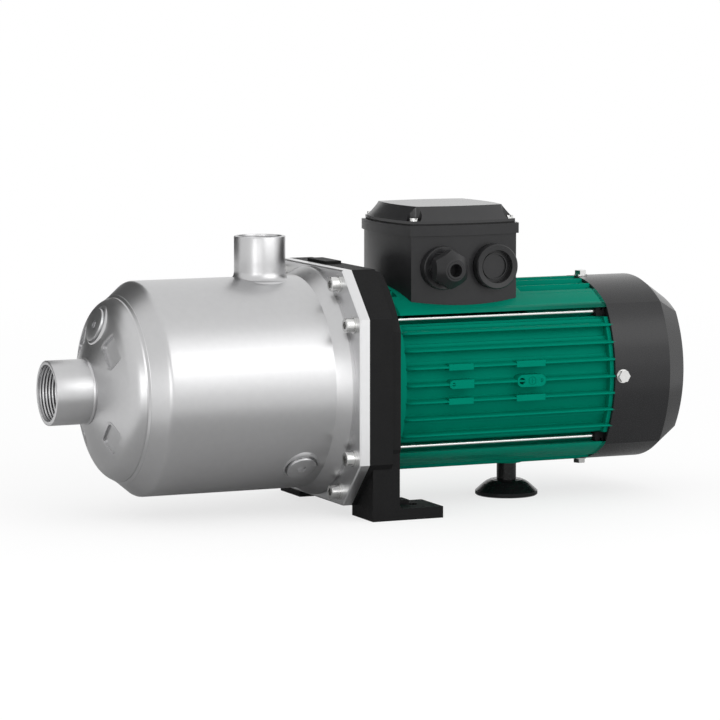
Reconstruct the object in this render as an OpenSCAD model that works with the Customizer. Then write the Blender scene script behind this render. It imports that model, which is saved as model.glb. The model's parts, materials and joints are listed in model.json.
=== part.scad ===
// Horizontal multistage centrifugal pump, close coupled to a fan cooled motor.
// X runs along the shaft from the suction socket to the fan, Z is up and Y completes the frame.
// The origin is on the base plane, midway between the two foot bolts. Lengths in millimetres.

/* [Layout] */
// Height of the shaft axis above the base plane
shaft_h = 92.5; // [92:0.5:110]
// Distance from the bracket front face back to the foot bolts
foot_bolt_x = 42; // [38:0.5:46]

/* [Casing] */
// Outer radius of the casing barrel
casing_r = 76.6; // [74:0.2:80]
// Wall of the drawn casing
casing_wall = 2; // [1.5:0.1:2.5]
// Length of the straight barrel
barrel_l = 123.2; // [118:0.2:140]
// Length of the flare between barrel and flange
flare_l = 12.6; // [9:0.2:15]
// How far the flare opens the radius at the flange
flare_h = 5.6; // [4:0.2:5.8]
// Length of the cone between barrel and step ring
shoulder_l = 11.4; // [9:0.2:14]
// Radius lost over that cone
shoulder_h = 9.7; // [8:0.1:11]
// Length of the step ring that holds the stage stack
step_l = 3; // [2.4:0.2:4]
// Length of the rim behind the dished end
rim_l = 7.8; // [6:0.2:10]
// Outer radius of the dished end
dish_r = 62.6; // [60:0.2:63]
// Depth of the dish between rim and suction socket
dish_l = 13.8; // [11:0.2:17]
// Side of the square pressed pads in the dish
press_w = 21; // [16:0.5:23]
// Radius at which the pressed pads sit
press_r = 46; // [44:0.5:46.5]
// Depth of the pad floor behind the dish rim
press_d = 1; // [0.4:0.2:2]

/* [Ports] */
// Outer radius of the suction socket
suction_r = 23; // [22.5:0.1:25]
// Thread bore radius of the suction socket
suction_bore_r = 19.5; // [17:0.1:20]
// Length of the suction socket outside the dish
suction_l = 28.9; // [24:0.1:40]
// Outer radius of the discharge socket
discharge_r = 18.4; // [17.5:0.1:20]
// Thread bore radius of the discharge socket
discharge_bore_r = 15.2; // [13:0.1:15.6]
// Height of the discharge socket end above the shaft
discharge_h = 105.7; // [100:0.5:120]
// Distance of the discharge axis from the flange rear face
discharge_x = 46.8; // [44:0.2:60]
// Height of the drawn collar above the barrel
collar_h = 9.5; // [8:0.2:12]

/* [Flange] */
// Thickness of the casing flange
flange_t = 7.4; // [6:0.2:9]
// Half width of the flange
flange_w = 88.95; // [88.5:0.05:92]
// Half height of the flange
flange_h = 83.9; // [83.8:0.1:85]
// Half width of the flange top edge
flange_cut_w = 56.8; // [54:0.2:60]
// Half height of the flange side edge
flange_cut_h = 51.5; // [50:0.2:54]
// Y of the upper and lower screws
screw_in_y = 52.7; // [52:0.1:54]
// Height of the upper and lower screws from the shaft
screw_in_z = 74; // [73.6:0.1:75]
// Y of the side screws
screw_out_y = 79; // [78.6:0.1:80]
// Height of the side screws from the shaft
screw_out_z = 47.2; // [46.6:0.1:48]
// Screw shank radius
screw_r = 3; // [2.5:0.1:3.2]

/* [Plugs] */
// Head radius of the fill plug
fill_head_r = 10; // [9:0.1:11]
// Radius in the dish at which the fill plug sits
fill_at_r = 45; // [43:0.5:46]
// Head radius of the drain plug
drain_head_r = 11.4; // [10:0.1:12]
// Distance of the drain plug from the flange rear face
drain_x = 38; // [34:0.5:48]
// Thread radius of both plugs
plug_r = 6.5; // [5:0.1:7]
// Thread length of both plugs
plug_l = 8; // [7:0.5:9]

/* [Stages] */
// Pitch of the stages
stage_pitch = 20.5; // [20:0.1:22]
// Outer radius of the stage casings
stage_r = 62; // [56:0.5:63]
// Wall of stage casings and guide plates
stage_wall = 1.6; // [1.2:0.1:2]
// Outer radius of the impellers
impeller_r = 50; // [44:0.5:52]
// Outlet width of the impellers between the shrouds
impeller_b = 4.4; // [3.5:0.1:5]
// Eye radius of the impellers
eye_r = 19; // [17:0.2:21]
// Hub radius of the impellers
hub_r = 10; // [9.5:0.1:11]
// Vanes of each impeller
vanes = 6; // [5:1:8]
// Return vanes of each stage casing
return_vanes = 8; // [6:1:10]
// Gap between running and fixed stage parts
run_gap = 0.5; // [0.4:0.05:0.6]

/* [Shaft] */
// Shaft radius under the impellers
shaft_pump_r = 7; // [6.5:0.1:7.5]
// Shaft radius at the seal
shaft_seal_r = 8; // [7.8:0.1:9]
// Shaft radius at the front bearing
shaft_front_r = 10; // [9.8:0.1:10.5]
// Shaft radius in the rotor
shaft_rotor_r = 12; // [11:0.1:13]
// Shaft radius at the rear bearing
shaft_rear_r = 7.5; // [7:0.1:8]

/* [Bracket] */
// Depth of the bracket block along the shaft
bracket_d = 25; // [24:0.5:30]
// Inner edge of each foot in Y
foot_in_y = 48; // [46:0.5:52]
// Outer edge of each foot in Y
foot_out_y = 85; // [83:0.5:88]
// Distance from the bracket front face to the toe end
toe_x = 58.8; // [56:0.2:64]
// Thickness of the toe
toe_t = 8.2; // [7:0.2:8.4]
// Y of the foot bolts
foot_bolt_y = 66.4; // [62:0.2:70]
// Radius of the foot bolt holes
foot_hole_r = 4.5; // [3.5:0.1:5.5]

/* [Motor] */
// Length of the finned housing
motor_l = 180; // [176:1:210]
// Arc radius of each side of the fin envelope
side_arc_r = 90; // [88:0.5:92]
// Offset of the side arc centres from the axis
side_arc_off = 22; // [20:0.5:23]
// Depth of the fins
fin_d = 8; // [6:0.5:8.5]
// Thickness of the fins
fin_t = 3; // [2:0.2:4]
// Pitch of the fins
fin_pitch = 12.3; // [11.5:0.1:12.4]
// Length of the smooth band before the fins
band_l = 15; // [8:1:20]
// Bore radius of the housing
bore_r = 56; // [54:0.2:56.6]
// Tie rod position in Y
rod_y = 44.9; // [44.4:0.1:45.4]
// Tie rod position in height
rod_z = 46; // [45.6:0.1:46.6]
// Tie rod radius
rod_r = 2.3; // [2:0.1:2.5]
// Length of the stator core
core_l = 84; // [60:1:90]
// Air gap between rotor and stator
air_gap = 0.4; // [0.3:0.05:0.6]
// Radius of the rotor core
rotor_r = 31; // [28:0.5:33]

/* [Fan cover] */
// Straight length of the fan cover
cover_l = 45; // [44:1:60]
// Length of the slanted end of the fan cover
cover_slant_l = 18; // [14:0.5:22]
// How far the slanted end draws in
cover_slant_h = 12.6; // [10:0.2:15]
// Sheet thickness of the fan cover
cover_t = 1.6; // [1.2:0.1:2]
// Radius of the fan
fan_r = 50; // [44:0.5:52]
// Blades of the fan
fan_blades = 8; // [6:1:12]

/* [Support foot] */
// Distance of the support foot from the bracket front face
support_x = 150; // [140:1:160]
// Radius of the pad
pad_r = 23.1; // [20:0.1:26]
// Height of the pad
pad_h = 12; // [10:0.2:13]
// Radius of the stem
stem_r = 7.2; // [6:0.1:8]

/* [Terminal box] */
// Distance of the box centre from the bracket front face
box_x = 95; // [92:0.5:100]
// Half width of the box across its bulged walls
box_w = 47.3; // [46:0.1:48]
// Arc radius of the bulged walls
box_arc_r = 160; // [150:1:180]
// Height of the box rim above the shaft
box_h = 112.5; // [110:0.5:118]
// Height of the rim band
rim_h = 7.5; // [6:0.2:9]
// Overhang of the rim band
rim_o = 1.7; // [1.2:0.1:2]
// Wall of the box
box_wall = 2.8; // [2.4:0.1:3.2]
// Height of the lid
lid_h = 13; // [11:0.2:15]
// How far the lid sides draw in
lid_in = 9; // [7:0.2:10]
// Distance of the lid screws from the box centre in X and Y
lid_screw_at = 37.6; // [37:0.1:38]
// Height of the entries above the shaft
entry_h = 82; // [81:0.5:86]
// Offset of the gland from the box centre
gland_x = 20; // [18:0.5:22]
// Offset of the blanking plug from the box centre
blank_x = 21; // [20:0.5:22]
// Cable hole radius of the gland
cable_r = 4.9; // [3.5:0.1:5.5]

/* [Hidden] */
$fn = 96;

steel = "#c9ccce";
polished = "#e3e4e4";
black_cast = "#2b2b2b";
green = "#007a5e";
grey = "#4a4a4a";
rubber = "#1c1c1c";

// Places along the shaft
face_x = -foot_bolt_x;
flange_x = face_x - flange_t;
flare_x = flange_x - flare_l;
barrel_x = flare_x - barrel_l;
shoulder_x = barrel_x - shoulder_l;
step_x = shoulder_x - step_l;
rim_x = step_x - rim_l;
dish_x = rim_x - dish_l;
suction_x = dish_x - suction_l;
motor_x = face_x + bracket_d;
cover_x = motor_x + motor_l;
slant_x = cover_x + cover_l;
rear_x = slant_x + cover_slant_l;

// Casing
eps = 0.01;
dish_round = 2.6;
step_r = casing_r - shoulder_h;
rim_r = step_r - 0.9;
dish_tilt = atan((dish_l - dish_round) / (dish_r - dish_round - suction_r));
weld_w = 1.4;
mouth_r = casing_r + flare_h - casing_wall - 2.7;
collar_flare = 4.5;
collar_r = discharge_r - 0.5;
bevel = 0.9;

// Stage stack
stages = 5;
stack_end_gap = 42.6;
stack_x1 = face_x - flange_t - stack_end_gap;
stack_x0 = stack_x1 - stages * stage_pitch;
inlet_t = 3;
seat_gap = 0.3;
shroud_t = 1;
impeller_w = impeller_b + 2 * shroud_t;
wheel_x = stage_wall + run_gap;
guide_x = wheel_x + impeller_w + run_gap;
vane_t = 1.5;
spacing_r = hub_r + run_gap;

// Seal
seal_plate_r = mouth_r - seat_gap;
seal_hub_l = 24;
seal_hub_r = 19;
seal_pocket_r = 14.5;
seal_pocket_d = 7;
seal_head_l = 6.4;
seal_gap = 0.1;
shaft_gap = 1;
o_ring_r = 1.55;
o_ring_x = face_x - flange_t / 2;

// Bearings: bore, outer radius and width
front_out_r = 23.5;
front_w = 14;
front_x = face_x + 20;
front_hub_l = 13;
rear_out_r = 17.5;
rear_w = 11;
rear_bearing_x = cover_x - 13;
race_gap = 0.06;
ring_share = 0.26;
slinger_r = 14;
slinger_x = face_x + 12.5;
slinger_w = 5;

// Motor
root_r = side_arc_r - fin_d;
band_drop = 3;
channel_top = rod_z + 3.5;
channel_bottom = rod_z - 3.6;
channel_in = rod_y - rod_r - 1.2;
core_x = motor_x + 43;
winding_l = 19;
shield_t = 9;
spigot_l = 8;
fan_x = cover_x + 13;
fan_w = 24;
shaft_end_x = fan_x + fan_w + 1;
lug_l = 7;
lug_r = 8;
lug_in = rod_r + 1;
lug_w = 6.4;
fin_pad_x = [46.6, 99.8];
fin_pad_l = [18.7, 22.4];
fin_pad_h = [6, 8.6];

// Terminal box
box_off = box_arc_r - box_w;
box_cx = face_x + box_x;
box_floor_h = side_arc_r - side_arc_off + 4;
lid_edge = 0.8;
lid_lip = 2;
lid_notch_r = 5.5;
gasket_t = 1;
lid_z = shaft_h + box_h + gasket_t;
wire_hole_r = 9;

// Local axes: x to Y, y to Z, z along the shaft
module on_shaft(x) {
  translate([x, 0, shaft_h]) rotate([90, 0, 90]) children();
}

module ring(r_out, r_in, h) {
  difference() {
    cylinder(r = r_out, h = h);
    translate([0, 0, -1]) cylinder(r = r_in, h = h + 2);
  }
}

// Square with four bulged sides, drawn in by taper over its height
module bulged(arc_r, off, h, taper = 0) {
  intersection_for (a = [0 : 90 : 270])
    rotate([0, 0, a]) translate([off, 0, 0]) cylinder(r1 = arc_r, r2 = arc_r - taper, h = h, $fn = 180);
}

module hex(af, h) {
  cylinder(r = af / sqrt(3), h = h, $fn = 6);
}

// Curved vane from radius r0 to r1 that turns through sweep degrees
module vane(r0, r1, sweep, t, h, steps = 8) {
  function at(s, side) =
    let (r = r0 + (r1 - r0) * s, a = sweep * s, n = a + 90 + atan(r * sweep * PI / 180 / (r1 - r0)))
    [r * cos(a) + side * t / 2 * cos(n), r * sin(a) + side * t / 2 * sin(n)];
  linear_extrude(height = h)
    polygon(concat([for (i = [0 : steps]) at(i / steps, 1)], [for (i = [steps : -1 : 0]) at(i / steps, -1)]));
}

// Octagonal outline shared by flange and bracket
function octagon(grow = 0) =
  let (w = flange_w + grow, h = flange_h + grow, cw = flange_cut_w, ch = flange_cut_h)
  [[cw, h], [w, ch], [w, -ch], [cw, -h], [-cw, -h], [-w, -ch], [-w, ch], [-cw, h]];

module octagon_plate(t, grow = 0) {
  linear_extrude(height = t) polygon(octagon(grow));
}

function screw_places() =
  concat([for (sy = [-1, 1], sz = [-1, 1]) [sy * screw_in_y, sz * screw_in_z]],
         [for (sy = [-1, 1], sz = [-1, 1]) [sy * screw_out_y, sz * screw_out_z]]);

function rod_places() = [for (sy = [-1, 1], sz = [-1, 1]) [sy * rod_y, sz * rod_z]];

// Casing profile as radius and X, from the suction hole to the flange, moved in by wall
function casing_line(wall) =
  let (k = wall > 0 ? 1 : 0)
  concat(
    [[suction_r, dish_x + wall]],
    [for (a = [0 : 22.5 : 90])
      [dish_r - dish_round + (dish_round - wall * 0.9) * sin(a),
       rim_x + dish_round - (dish_round - wall * 0.9) * cos(a)]],
    [[rim_r - wall, step_x - 0.6 * (1 - k)], [rim_r - wall - 0.8 * (1 - k), step_x],
     [rim_r - wall - 0.8 * (1 - k), step_x + step_l * 0.45], [step_r - wall, step_x + step_l - 0.3 * (1 - k)],
     [step_r - wall, shoulder_x + wall * 0.3]],
    [for (a = [0 : 15 : 45])
      [casing_r - wall - 5 * (1 - cos(45 - a)) , barrel_x - 5 * sin(45 - a) + 2.1 + wall * 0.4]],
    [[casing_r - wall, flare_x + wall * 0.3],
     [casing_r - wall + flare_h * 0.62, flare_x + flare_l * 0.45 + wall * 0.4],
     [casing_r - wall + flare_h, flange_x - 2.6 + wall * 0.2],
     [casing_r - wall + flare_h, flange_x]]
  );

function reversed(line) = [for (i = [len(line) - 1 : -1 : 0]) line[i]];

module casing_solid() {
  on_shaft(0) rotate_extrude()
    polygon(concat([[0, dish_x]], casing_line(0), [[0, flange_x]]));
}

module casing_shell() {
  on_shaft(0) rotate_extrude()
    polygon(concat(casing_line(0), reversed(casing_line(casing_wall))));
}

// Pressed pads on the four diagonals of the dish
module at_pads() {
  for (a = [45 : 90 : 315])
    on_shaft(rim_x) rotate([0, 0, a]) translate([press_r, 0, 0]) children();
}

module rounded_block(w, r, z0, z1) {
  for (s = [0, 1])
    translate([-w / 2 + s * r, -w / 2 + (1 - s) * r, z0]) cube([w - 2 * s * r, w - 2 * (1 - s) * r, z1 - z0]);
  for (sx = [-1, 1], sy = [-1, 1])
    translate([sx * (w / 2 - r), sy * (w / 2 - r), z0]) cylinder(r = r, h = z1 - z0);
}

module at_fill() {
  translate([dish_x + (fill_at_r - suction_r) * tan(dish_tilt), 0, shaft_h + fill_at_r])
    rotate([0, dish_tilt - 90, 0]) children();
}

module at_drain() {
  translate([face_x - drain_x, 0, shaft_h]) rotate([135, 0, 0]) children();
}

module at_discharge() {
  translate([face_x - discharge_x, 0, shaft_h]) children();
}

fill_boss_r = fill_head_r + 1.6;
fill_boss_h = 2.2;
fill_head_h = 2.6;
drain_boss_r = drain_head_r + 1.6;
drain_boss_top = casing_r + 1.6;
drain_head_h = 3;
plug_seal_t = 0.8;
plug_gap = 0.05;

module pump_casing() {
  color(steel) difference() {
    union() {
      casing_shell();
      intersection() {
        casing_solid();
        at_pads() rounded_block(press_w + 2 * casing_wall, 4, -dish_l, press_d + casing_wall);
      }
      difference() {
        at_discharge() rotate_extrude()
          polygon(concat(
            [[0, casing_r - 6], [discharge_r + collar_flare + 3, casing_r - 6]],
            [for (a = [0 : 15 : 90])
              [discharge_r + collar_flare * (1 - sin(a)), casing_r - 2.4 + (collar_flare + 2) * (1 - cos(a))]],
            [[discharge_r, casing_r + collar_h], [0, casing_r + collar_h]]));
        on_shaft(barrel_x) cylinder(r = casing_r - casing_wall, h = barrel_l + flare_l);
      }
    }
    at_pads() rounded_block(press_w, 3, -dish_l - 2, press_d);
    at_discharge() cylinder(r = discharge_bore_r + 1.2, h = casing_r + collar_h + 1);
    at_fill() translate([0, 0, -plug_l]) cylinder(r = fill_boss_r, h = 3 * plug_l);
    at_drain() cylinder(r = drain_boss_r, h = casing_r + 10);
  }
}

module suction_port() {
  color(steel) on_shaft(0) rotate_extrude()
    polygon([
      [suction_bore_r + 1.4, suction_x], [suction_r - 0.6, suction_x], [suction_r, suction_x + 0.6],
      [suction_r, dish_x - weld_w], [suction_r + weld_w, dish_x + weld_w * tan(dish_tilt)],
      [suction_r, dish_x], [suction_r, dish_x + casing_wall + 1], [suction_bore_r, dish_x + casing_wall + 1],
      [suction_bore_r, suction_x + 1.4]
    ]);
}

module discharge_port() {
  z0 = casing_r + collar_h;
  color(steel) at_discharge() rotate_extrude()
    polygon([
      [discharge_bore_r + 1.2, discharge_h], [discharge_r - 0.6, discharge_h],
      [discharge_r, discharge_h - 0.6], [discharge_r, z0 + 0.5], [collar_r, z0],
      [discharge_bore_r, z0], [discharge_bore_r, discharge_h - 1.2]
    ]);
}

module casing_flange() {
  color(steel) on_shaft(flange_x) difference() {
    union() {
      translate([0, 0, bevel]) octagon_plate(flange_t - bevel);
      hull() {
        octagon_plate(eps, -bevel);
        translate([0, 0, bevel]) octagon_plate(eps);
      }
    }
    translate([0, 0, -1]) cylinder(r = mouth_r, h = flange_t + 2);
    for (p = screw_places())
      translate([p[0], p[1], -1]) cylinder(r = screw_r + 0.2, h = flange_t + 2);
  }
}

washer_t = 1.6;
washer_r = screw_r * 2;
head_r = screw_r * 1.7;
head_h = screw_r * 2;
screw_l = 14;

module flange_screws() {
  color(polished) for (p = screw_places())
    on_shaft(flange_x) translate([p[0], p[1], 0]) {
      difference() {
        union() {
          mirror([0, 0, 1]) cylinder(r = washer_r, h = washer_t);
          mirror([0, 0, 1]) translate([0, 0, washer_t - eps]) cylinder(r = head_r, h = head_h - 0.5);
          translate([0, 0, -washer_t - head_h]) cylinder(r1 = head_r - 0.5, r2 = head_r, h = 0.5 + eps);
        }
        translate([0, 0, -washer_t - head_h - 1]) hex(screw_r * 5 / 3, head_h * 0.5 + 1);
      }
      translate([0, 0, -eps]) cylinder(r = screw_r, h = flange_t + screw_l);
    }
}

module fill_boss() {
  color(steel) at_fill() difference() {
    translate([0, 0, -plug_l]) cylinder(r = fill_boss_r, h = plug_l + fill_boss_h);
    translate([0, 0, -plug_l - 1]) cylinder(r = plug_r + plug_gap, h = 3 * plug_l);
  }
}

module plug(head_r, head_h, socket_af) {
  difference() {
    union() {
      translate([0, 0, plug_seal_t]) cylinder(r = head_r, h = head_h - 0.6);
      translate([0, 0, plug_seal_t + head_h - 0.6]) cylinder(r1 = head_r, r2 = head_r - 0.6, h = 0.6);
      translate([0, 0, -plug_l]) cylinder(r = plug_r, h = plug_l + plug_seal_t + 0.5);
    }
    translate([0, 0, -2]) hex(socket_af, head_h + 10);
  }
}

module plug_seal(head_r) {
  ring(head_r - 0.8, plug_r + seat_gap, plug_seal_t);
}

module fill_plug() {
  color(polished) at_fill() translate([0, 0, fill_boss_h]) plug(fill_head_r, fill_head_h, 6);
}

module fill_plug_seal() {
  color(rubber) at_fill() translate([0, 0, fill_boss_h]) plug_seal(fill_head_r);
}

module drain_boss() {
  color(steel) at_drain() difference() {
    translate([0, 0, drain_boss_top - plug_l - 1]) cylinder(r = drain_boss_r, h = plug_l + 1);
    cylinder(r = plug_r + plug_gap, h = casing_r + 10);
  }
}

module drain_plug() {
  color(polished) at_drain() translate([0, 0, drain_boss_top]) plug(drain_head_r, drain_head_h, 6);
}

module drain_plug_seal() {
  color(rubber) at_drain() translate([0, 0, drain_boss_top]) plug_seal(drain_head_r);
}

module torus(r, r_wire) {
  rotate_extrude() translate([r, 0]) circle(r = r_wire, $fn = 32);
}

module casing_o_ring() {
  color(rubber) on_shaft(o_ring_x) torus(seal_plate_r - o_ring_r, o_ring_r);
}

module seal_plate() {
  groove_d = 2 * o_ring_r + 0.1;
  groove_w = 2 * o_ring_r + 0.4;
  hub_x = face_x - seal_hub_l;
  color(steel) on_shaft(0) rotate_extrude()
    polygon([
      [shaft_seal_r + shaft_gap, hub_x + seal_pocket_d], [seal_pocket_r, hub_x + seal_pocket_d],
      [seal_pocket_r, hub_x], [seal_hub_r, hub_x], [seal_hub_r, face_x - flange_t - 4],
      [seal_hub_r + 6, face_x - flange_t], [seal_plate_r, face_x - flange_t],
      [seal_plate_r, o_ring_x - groove_w / 2], [seal_plate_r - groove_d, o_ring_x - groove_w / 2],
      [seal_plate_r - groove_d, o_ring_x + groove_w / 2], [seal_plate_r, o_ring_x + groove_w / 2],
      [seal_plate_r, face_x], [shaft_seal_r + shaft_gap, face_x]
    ]);
}

module seal_seat() {
  color("#d8d4c8") on_shaft(face_x - seal_hub_l - 0.4)
    ring(seal_pocket_r - 0.05, shaft_seal_r + shaft_gap, seal_pocket_d + 0.4);
}

head_x = face_x - seal_hub_l - 0.4 - seal_gap - seal_head_l;
spring_x0 = stack_x1 + wheel_x + shroud_t + 0.1;
spring_l = head_x - spring_x0;

module seal_head() {
  color("#3c3c40") on_shaft(head_x) union() {
    ring(seal_pocket_r - 3, shaft_seal_r, seal_head_l);
    ring(seal_pocket_r - 1, shaft_seal_r, seal_head_l * 0.5);
  }
}

spring_wire = 1.5;
spring_turns = 5;
spring_r = shaft_seal_r + 2.6;

// Coil spring swept from one ring of points to the next
module seal_spring() {
  per = 18;
  sides = 8;
  n = spring_turns * per;
  rise = spring_l - spring_wire;
  points = [for (i = [0 : n], j = [0 : sides - 1])
    let (a = 360 * i / per, b = 360 * j / sides, r = spring_r + spring_wire / 2 * cos(b))
    [r * cos(a), r * sin(a), spring_wire / 2 + rise * i / n + spring_wire / 2 * sin(b)]];
  walls = [for (i = [0 : n - 1], j = [0 : sides - 1])
    [i * sides + j, (i + 1) * sides + j, (i + 1) * sides + (j + 1) % sides, i * sides + (j + 1) % sides]];
  ends = [[for (j = [0 : sides - 1]) j], [for (j = [sides - 1 : -1 : 0]) n * sides + j]];
  color(polished) on_shaft(spring_x0) polyhedron(points, concat(walls, ends), convexity = 10);
}

module inlet_plate() {
  r = rim_r - casing_wall - seat_gap;
  color(steel) on_shaft(stack_x0 - inlet_t) difference() {
    cylinder(r = r, h = inlet_t);
    translate([0, 0, -1]) cylinder(r = eye_r + run_gap, h = inlet_t + 2);
  }
}

// One stage: cup, guide plate behind the impeller and return vanes
module stage_casing(k) {
  color(steel) on_shaft(stack_x0 + (k - 1) * stage_pitch) {
    difference() {
      cylinder(r = stage_r, h = stage_pitch);
      translate([0, 0, stage_wall]) cylinder(r = stage_r - stage_wall, h = stage_pitch);
      translate([0, 0, -1]) cylinder(r = eye_r + run_gap, h = stage_wall + 2);
    }
    translate([0, 0, guide_x]) ring(stage_r - 6, spacing_r, stage_wall);
    intersection() {
      for (a = [0 : return_vanes - 1])
        rotate([0, 0, a * 360 / return_vanes]) translate([0, 0, guide_x + stage_wall / 2])
          vane(eye_r + 2, stage_r - stage_wall / 2, -42, vane_t, stage_pitch - guide_x - stage_wall / 2);
      cylinder(r = stage_r - stage_wall / 2, h = stage_pitch);
    }
  }
}

// Closed impeller with swept vanes and a hub that reaches the next one
module impeller(k) {
  inlet_r = eye_r - 3;
  color("#d2d4d4") on_shaft(stack_x0 + (k - 1) * stage_pitch + wheel_x) {
    difference() {
      union() {
        ring(impeller_r, inlet_r + 1.5, shroud_t);
        translate([0, 0, -wheel_x + 0.2]) ring(inlet_r + 2.5, inlet_r + 1.5, wheel_x);
      }
      translate([0, 0, -wheel_x - 1]) cylinder(r = inlet_r + 1.5, h = wheel_x + 3);
    }
    translate([0, 0, impeller_w - shroud_t]) ring(impeller_r, hub_r - 1, shroud_t);
    intersection() {
      for (a = [0 : vanes - 1])
        rotate([0, 0, a * 360 / vanes]) translate([0, 0, shroud_t / 2])
          vane(inlet_r + 1, impeller_r - 0.5, 62, vane_t, impeller_w - shroud_t);
      cylinder(r = impeller_r - 0.2, h = impeller_w);
    }
    translate([0, 0, shroud_t]) ring(hub_r, shaft_pump_r, stage_pitch);
  }
}

nut_l = 9;
nut_x = stack_x0 + wheel_x + shroud_t - nut_l;

module impeller_nut() {
  color(polished) on_shaft(nut_x) difference() {
    hex(17, nut_l);
    translate([0, 0, -1]) cylinder(r = shaft_pump_r, h = nut_l + 2);
  }
}

module shaft() {
  seal_x = stack_x1 + wheel_x + shroud_t;
  steps = [
    [nut_x - 2, shaft_pump_r], [seal_x, shaft_seal_r], [front_x - 2, shaft_front_r],
    [front_x + front_w + 2, shaft_rotor_r], [rear_bearing_x - 1, shaft_rear_r], [shaft_end_x, 0]
  ];
  color(polished) on_shaft(0) rotate_extrude()
    polygon(concat([[0, steps[0][0]]],
      [for (i = [0 : len(steps) - 2], e = [0, 1]) [steps[i][1], steps[i + e][0]]],
      [[0, shaft_end_x]]));
}

module slinger() {
  color(rubber) on_shaft(slinger_x) rotate_extrude()
    polygon([[shaft_seal_r, 0], [slinger_r - 2, 0], [slinger_r, slinger_w], [slinger_r - 3, slinger_w - 1.5],
      [shaft_seal_r, slinger_w - 1]]);
}

rear_part_l = 7;
rear_part_r = 96;
leg_x = 4.3;
leg_top = 42;
top_pad_h = 2;
top_pad_y = [-4, 30];
toe_rib_l = 18;
toe_rib_h = 2.4;
toe_rib_w = 13;
cavity_r = 34;
cavity_d = 12;

module motor_bracket() {
  color(black_cast) difference() {
    union() {
      on_shaft(face_x) octagon_plate(bracket_d - rear_part_l);
      on_shaft(motor_x - rear_part_l) intersection() {
        octagon_plate(rear_part_l, -2.5);
        cylinder(r = rear_part_r, h = rear_part_l);
      }
      on_shaft(motor_x - 1) cylinder(r = front_out_r + 5, h = front_hub_l + 1);
      on_shaft(motor_x) ring(bore_r - 0.1, bore_r - 5, 3);
      translate([face_x + 3, top_pad_y[0], shaft_h + flange_h - 1])
        cube([bracket_d - rear_part_l - 6, top_pad_y[1] - top_pad_y[0], 1 + top_pad_h]);
      for (s = [0, 1]) mirror([0, s, 0]) {
        translate([face_x + leg_x, foot_in_y, 0])
          cube([bracket_d - leg_x, foot_out_y - foot_in_y, shaft_h - leg_top]);
        translate([face_x + leg_x, foot_in_y, 0]) cube([toe_x - leg_x, foot_out_y - foot_in_y, toe_t]);
        translate([motor_x - 1, foot_in_y, 0]) cube([toe_rib_l + 1, toe_rib_w, toe_t + toe_rib_h]);
        translate([motor_x, foot_in_y, toe_t]) rotate([-90, 0, 0]) fillet(3, foot_out_y - foot_in_y);
      }
    }
    on_shaft(face_x - 1) cylinder(r = cavity_r, h = cavity_d + 1);
    on_shaft(face_x - 1) cylinder(r = slinger_r + 1.5, h = bracket_d);
    on_shaft(front_x) cylinder(r = front_out_r, h = bracket_d + front_hub_l);
    translate([face_x + cavity_d / 2, 0, 0]) cylinder(r = 4, h = shaft_h - cavity_r + 2);
    for (s = [-1, 1])
      translate([0, s * foot_bolt_y, -1]) cylinder(r = foot_hole_r, h = toe_t + toe_rib_h + 2);
    for (p = screw_places())
      on_shaft(face_x) translate([p[0], p[1], -1]) cylinder(r = screw_r, h = screw_l + 1);
    for (p = rod_places())
      on_shaft(motor_x - 10) translate([p[0], p[1], 0]) cylinder(r = rod_r, h = 11);
  }
}

// Concave corner strip along local z, in the quarter of positive x and negative y
module fillet(r, l) {
  difference() {
    translate([-eps, -r, 0]) cube([r + eps, r + eps, l]);
    translate([r, -r, -1]) cylinder(r = r, h = l + 2);
  }
}

module race(outer, r_bore, r_out, w) {
  t = (r_out - r_bore) * ring_share;
  ball = (r_out - r_bore) * 0.3;
  mid = (r_out + r_bore) / 2;
  difference() {
    if (outer) ring(r_out, r_out - t, w);
    else ring(r_bore + t, r_bore, w);
    translate([0, 0, w / 2]) torus(mid, ball + race_gap);
  }
}

// Balls joined by their cage
module balls(r_bore, r_out, w) {
  ball = (r_out - r_bore) * 0.3;
  mid = (r_out + r_bore) / 2;
  n = floor(360 / (2 * asin(ball * 1.15 / mid)));
  translate([0, 0, w / 2]) {
    for (i = [0 : n - 1]) rotate([0, 0, i * 360 / n]) translate([mid, 0, 0]) sphere(r = ball, $fn = 32);
    translate([0, 0, -ball * 0.6]) ring(mid + ball * 0.3, mid - ball * 0.3, ball * 1.2);
  }
}

module front_bearing_outer() {
  color(polished) on_shaft(front_x) race(true, shaft_front_r, front_out_r, front_w);
}

module front_bearing_inner() {
  color(polished) on_shaft(front_x) race(false, shaft_front_r, front_out_r, front_w);
}

module front_bearing_balls() {
  color(polished) on_shaft(front_x) balls(shaft_front_r, front_out_r, front_w);
}

module rear_bearing_outer() {
  color(polished) on_shaft(rear_bearing_x) race(true, shaft_rear_r, rear_out_r, rear_w);
}

module rear_bearing_inner() {
  color(polished) on_shaft(rear_bearing_x) race(false, shaft_rear_r, rear_out_r, rear_w);
}

module rear_bearing_balls() {
  color(polished) on_shaft(rear_bearing_x) balls(shaft_rear_r, rear_out_r, rear_w);
}

module stator_core() {
  slots = 24;
  slot_w = 3.4;
  color("#8d8f92") on_shaft(core_x) difference() {
    cylinder(r = bore_r, h = core_l);
    translate([0, 0, -1]) cylinder(r = rotor_r + air_gap, h = core_l + 2);
    for (i = [0 : slots - 1])
      rotate([0, 0, i * 360 / slots]) translate([rotor_r + 3, -slot_w / 2, -1])
        cube([12, slot_w, core_l + 2]);
  }
}

module stator_windings() {
  r_in = rotor_r + 3.4;
  color("#b5652b") for (x = [core_x - winding_l, core_x + core_l])
    on_shaft(x) rotate_extrude()
      polygon([[r_in, 0], [r_in, winding_l], [bore_r - 5, winding_l], [bore_r - 3, winding_l / 2], [bore_r - 5, 0]]);
}

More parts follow.
